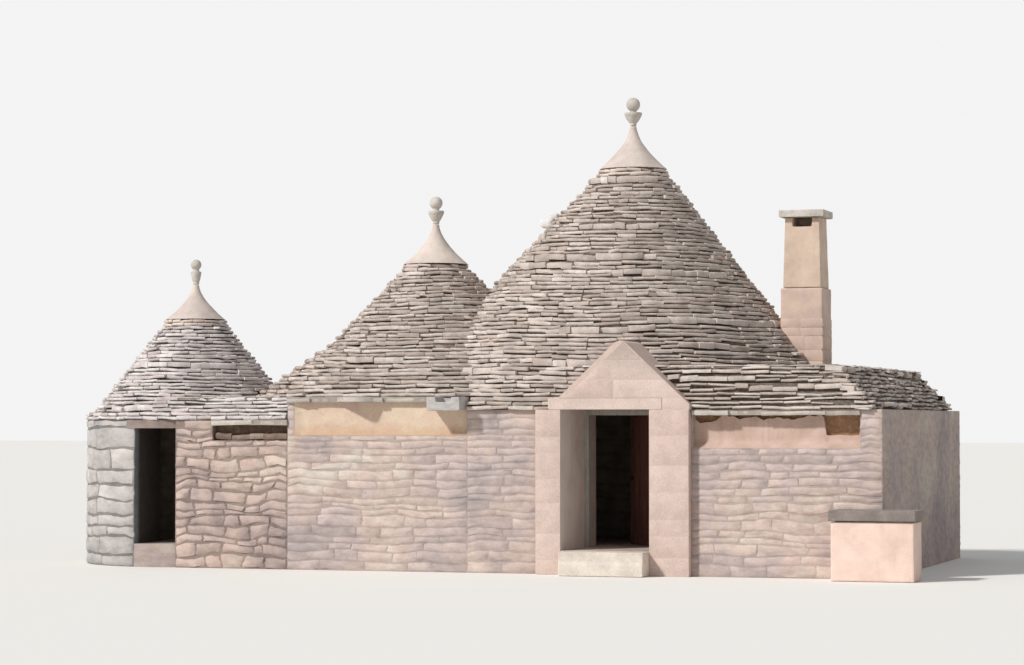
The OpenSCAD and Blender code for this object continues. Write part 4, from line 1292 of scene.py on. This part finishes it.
def turned(batch, centre, radii, axis="Z", steps=24):
    """A turned form from (radius, height) pairs about a centre."""
    points = []
    for radius, height in radii:
        for i in range(steps):
            angle = 2 * math.pi * i / steps
            a, b = radius * math.cos(angle), radius * math.sin(angle)
            offset = (a, b, height) if axis == "Z" else (a, height, -b)
            points.append(Vector(centre) + Vector(offset))
    top = (len(radii) - 1) * steps
    faces = [face for first in range(0, top, steps) for face in around(first, first + steps, steps)]
    batch.add(points, [*faces, range(steps)[::-1], range(top, top + steps)])


def make_leaf():
    boards, irons = Batch(), Batch()
    for a, b in pairs(cuts(LEAF_END, LEAF_EDGE, 0.19, 0.12)):
        soft_box(boards, (a + 0.001, b - 0.001), (LEAF_FRONT, LEAF_BACK), (LEAF_LOW, LEAF_HIGH), 0.003)
    face = LEAF_BACK + LEDGE_THICK
    for z in STRAPS:
        soft_box(boards, (LEAF_END + LEDGE_INSET, LEAF_EDGE - LEDGE_INSET), (LEAF_BACK, face),
                 (z - LEDGE_HALF, z + LEDGE_HALF), 0.004)
        soft_box(irons, (STRAP_END, -0.004), (face - STRAP_THICK, face + STRAP_THICK),
                 (z - STRAP_HALF, z + STRAP_HALF), 0.0015)
        turned(irons, (0, 0, z), KNUCKLE)
        for i in range(RIVETS):
            turned(irons, (RIVET_FIRST - RIVET_STEP * i, face + STRAP_THICK, z), RIVET, "Y", 12)
    turned(irons, (LEAF_END + 0.06, LEAF_FRONT, PLATE_Z), PLATE, "Y", 20)
    # What was drawn shut is turned about the hinge to where the leaf stands open
    swing = Matrix.Translation(HINGE) @ Matrix.Rotation(OPEN, 4, "Z")
    for batch in (boards, irons):
        batch.points = [swing @ point for point in batch.points]
    boards.build("door_leaf_boards", "door_boards", "door_wood", body="door", angle=35,
                 replaces="door_leaf")
    irons.build("door_irons", "wrought_iron", "door_wood", body="door", angle=35)


def make_frame():
    wood, pins = Batch(), Batch()
    low, high = box["door_frame"]
    inner_left, inner_right = JAMB_LEFT + FRAME_WIDTH, JAMB_RIGHT - FRAME_WIDTH
    depth = (low.y, low.y + FRAME_DEPTH)
    soft_box(wood, (JAMB_LEFT, inner_left), depth, (low.z, high.z), 0.004)
    soft_box(wood, (inner_right, JAMB_RIGHT), depth, (low.z, high.z), 0.004)
    soft_box(wood, (inner_left, inner_right), depth, (high.z - FRAME_WIDTH, high.z), 0.004)
    for z in STRAPS:
        foot = z - PIN_BELOW
        turned(pins, (HINGE.x, HINGE.y, 0),
               [(PIN_R, foot), (PIN_R, z + PIN_ABOVE), (0.006, z + PIN_ABOVE + 0.002)])
        soft_box(pins, (HINGE.x, JAMB_RIGHT), (HINGE.y - PIN_R, HINGE.y + PIN_R),
                 (foot, foot + BRACKET), 0.002)
    wood.build("door_frame_wood", "door_frame_wood", "door_wood", angle=35, replaces="door_frame")
    pins.build("hinge_pins", "wrought_iron", "door_wood", angle=35)


# The stage

FLOOR_HALF, FLOOR_Z = 200.0, -0.002
SUN_STRENGTH, SUN_ANGLE, SUN_COLOUR = 3.05, 5, (1.0, 0.985, 0.96)
SUN_WAY = Vector((0.60, 0.77, -0.80))
SKY_STRENGTH, SKY_COLOUR, BACKDROP = 0.43, (0.90, 0.95, 1.0, 1.0), (0.90, 0.90, 0.90, 1.0)
CAMERA_AT, CAMERA_AIM, LENS = Vector((9.35, -32.8, 1.7)), Vector((-1.22, -0.6, 2.78)), 99.0


def aimed(thing, way):
    """Links a lamp or camera that looks along a direction."""
    thing.rotation_euler = way.to_track_quat("-Z", "Y").to_euler()
    link(thing)


def make_stage():
    """A pale floor, a soft key light from the front left, and a camera as the photograph's."""
    mesh = bpy.data.meshes.new("stage_floor")
    corners = [(x * FLOOR_HALF, y * FLOOR_HALF, FLOOR_Z) for x, y in
               ((-1, -1), (1, -1), (1, 1), (-1, 1))]
    mesh.from_pydata(corners, [], [(0, 1, 2, 3)])
    mesh.materials.append(Shader("stage_floor", 0.9, 0.1).finish("ebe8e3"))
    floor = bpy.data.objects.new("stage_floor", mesh)
    link(floor)

    # The sky's light, with a plain backdrop where the camera, a mirror or glass sees it
    world = bpy.data.worlds.new("stage_world")
    bpy.context.scene.world = world
    graph = Graph(world)
    sky = world.node_tree.nodes["Background"]
    graph.put(sky.inputs["Color"], SKY_COLOUR)
    graph.put(sky.inputs["Strength"], SKY_STRENGTH)
    seen = graph.node("Background", {"Color": BACKDROP})
    rays = graph.node("LightPath").outputs
    kind = rays["Is Camera Ray"]
    for other in ("Is Glossy Ray", "Is Transmission Ray"):
        kind = graph.maths("MAXIMUM", kind, rays[other])
    mix = graph.node("MixShader", {0: kind, 1: sky.outputs[0], 2: seen.outputs[0]})
    graph.put(world.node_tree.nodes["World Output"].inputs["Surface"], mix.outputs[0])

    sun = bpy.data.objects.new("key_light", bpy.data.lights.new("key_light", "SUN"))
    sun.data.energy = SUN_STRENGTH
    sun.data.angle = math.radians(SUN_ANGLE)
    sun.data.color = SUN_COLOUR
    aimed(sun, SUN_WAY)

    camera = bpy.data.objects.new("camera", bpy.data.cameras.new("camera"))
    camera.location = CAMERA_AT
    camera.data.lens = LENS
    camera.data.clip_end = 500
    aimed(camera, CAMERA_AIM - CAMERA_AT)
    bpy.context.scene.camera = camera
    bpy.context.scene.view_settings.view_transform = "Standard"


make_roofs()
make_terraces()
make_loose_stones()
make_worn_solids()
make_walls()
paint_solids()
make_bands()
make_floors()
make_eaves()
make_surround()
make_chimney_stones()
make_leaf()
make_frame()
make_stage()
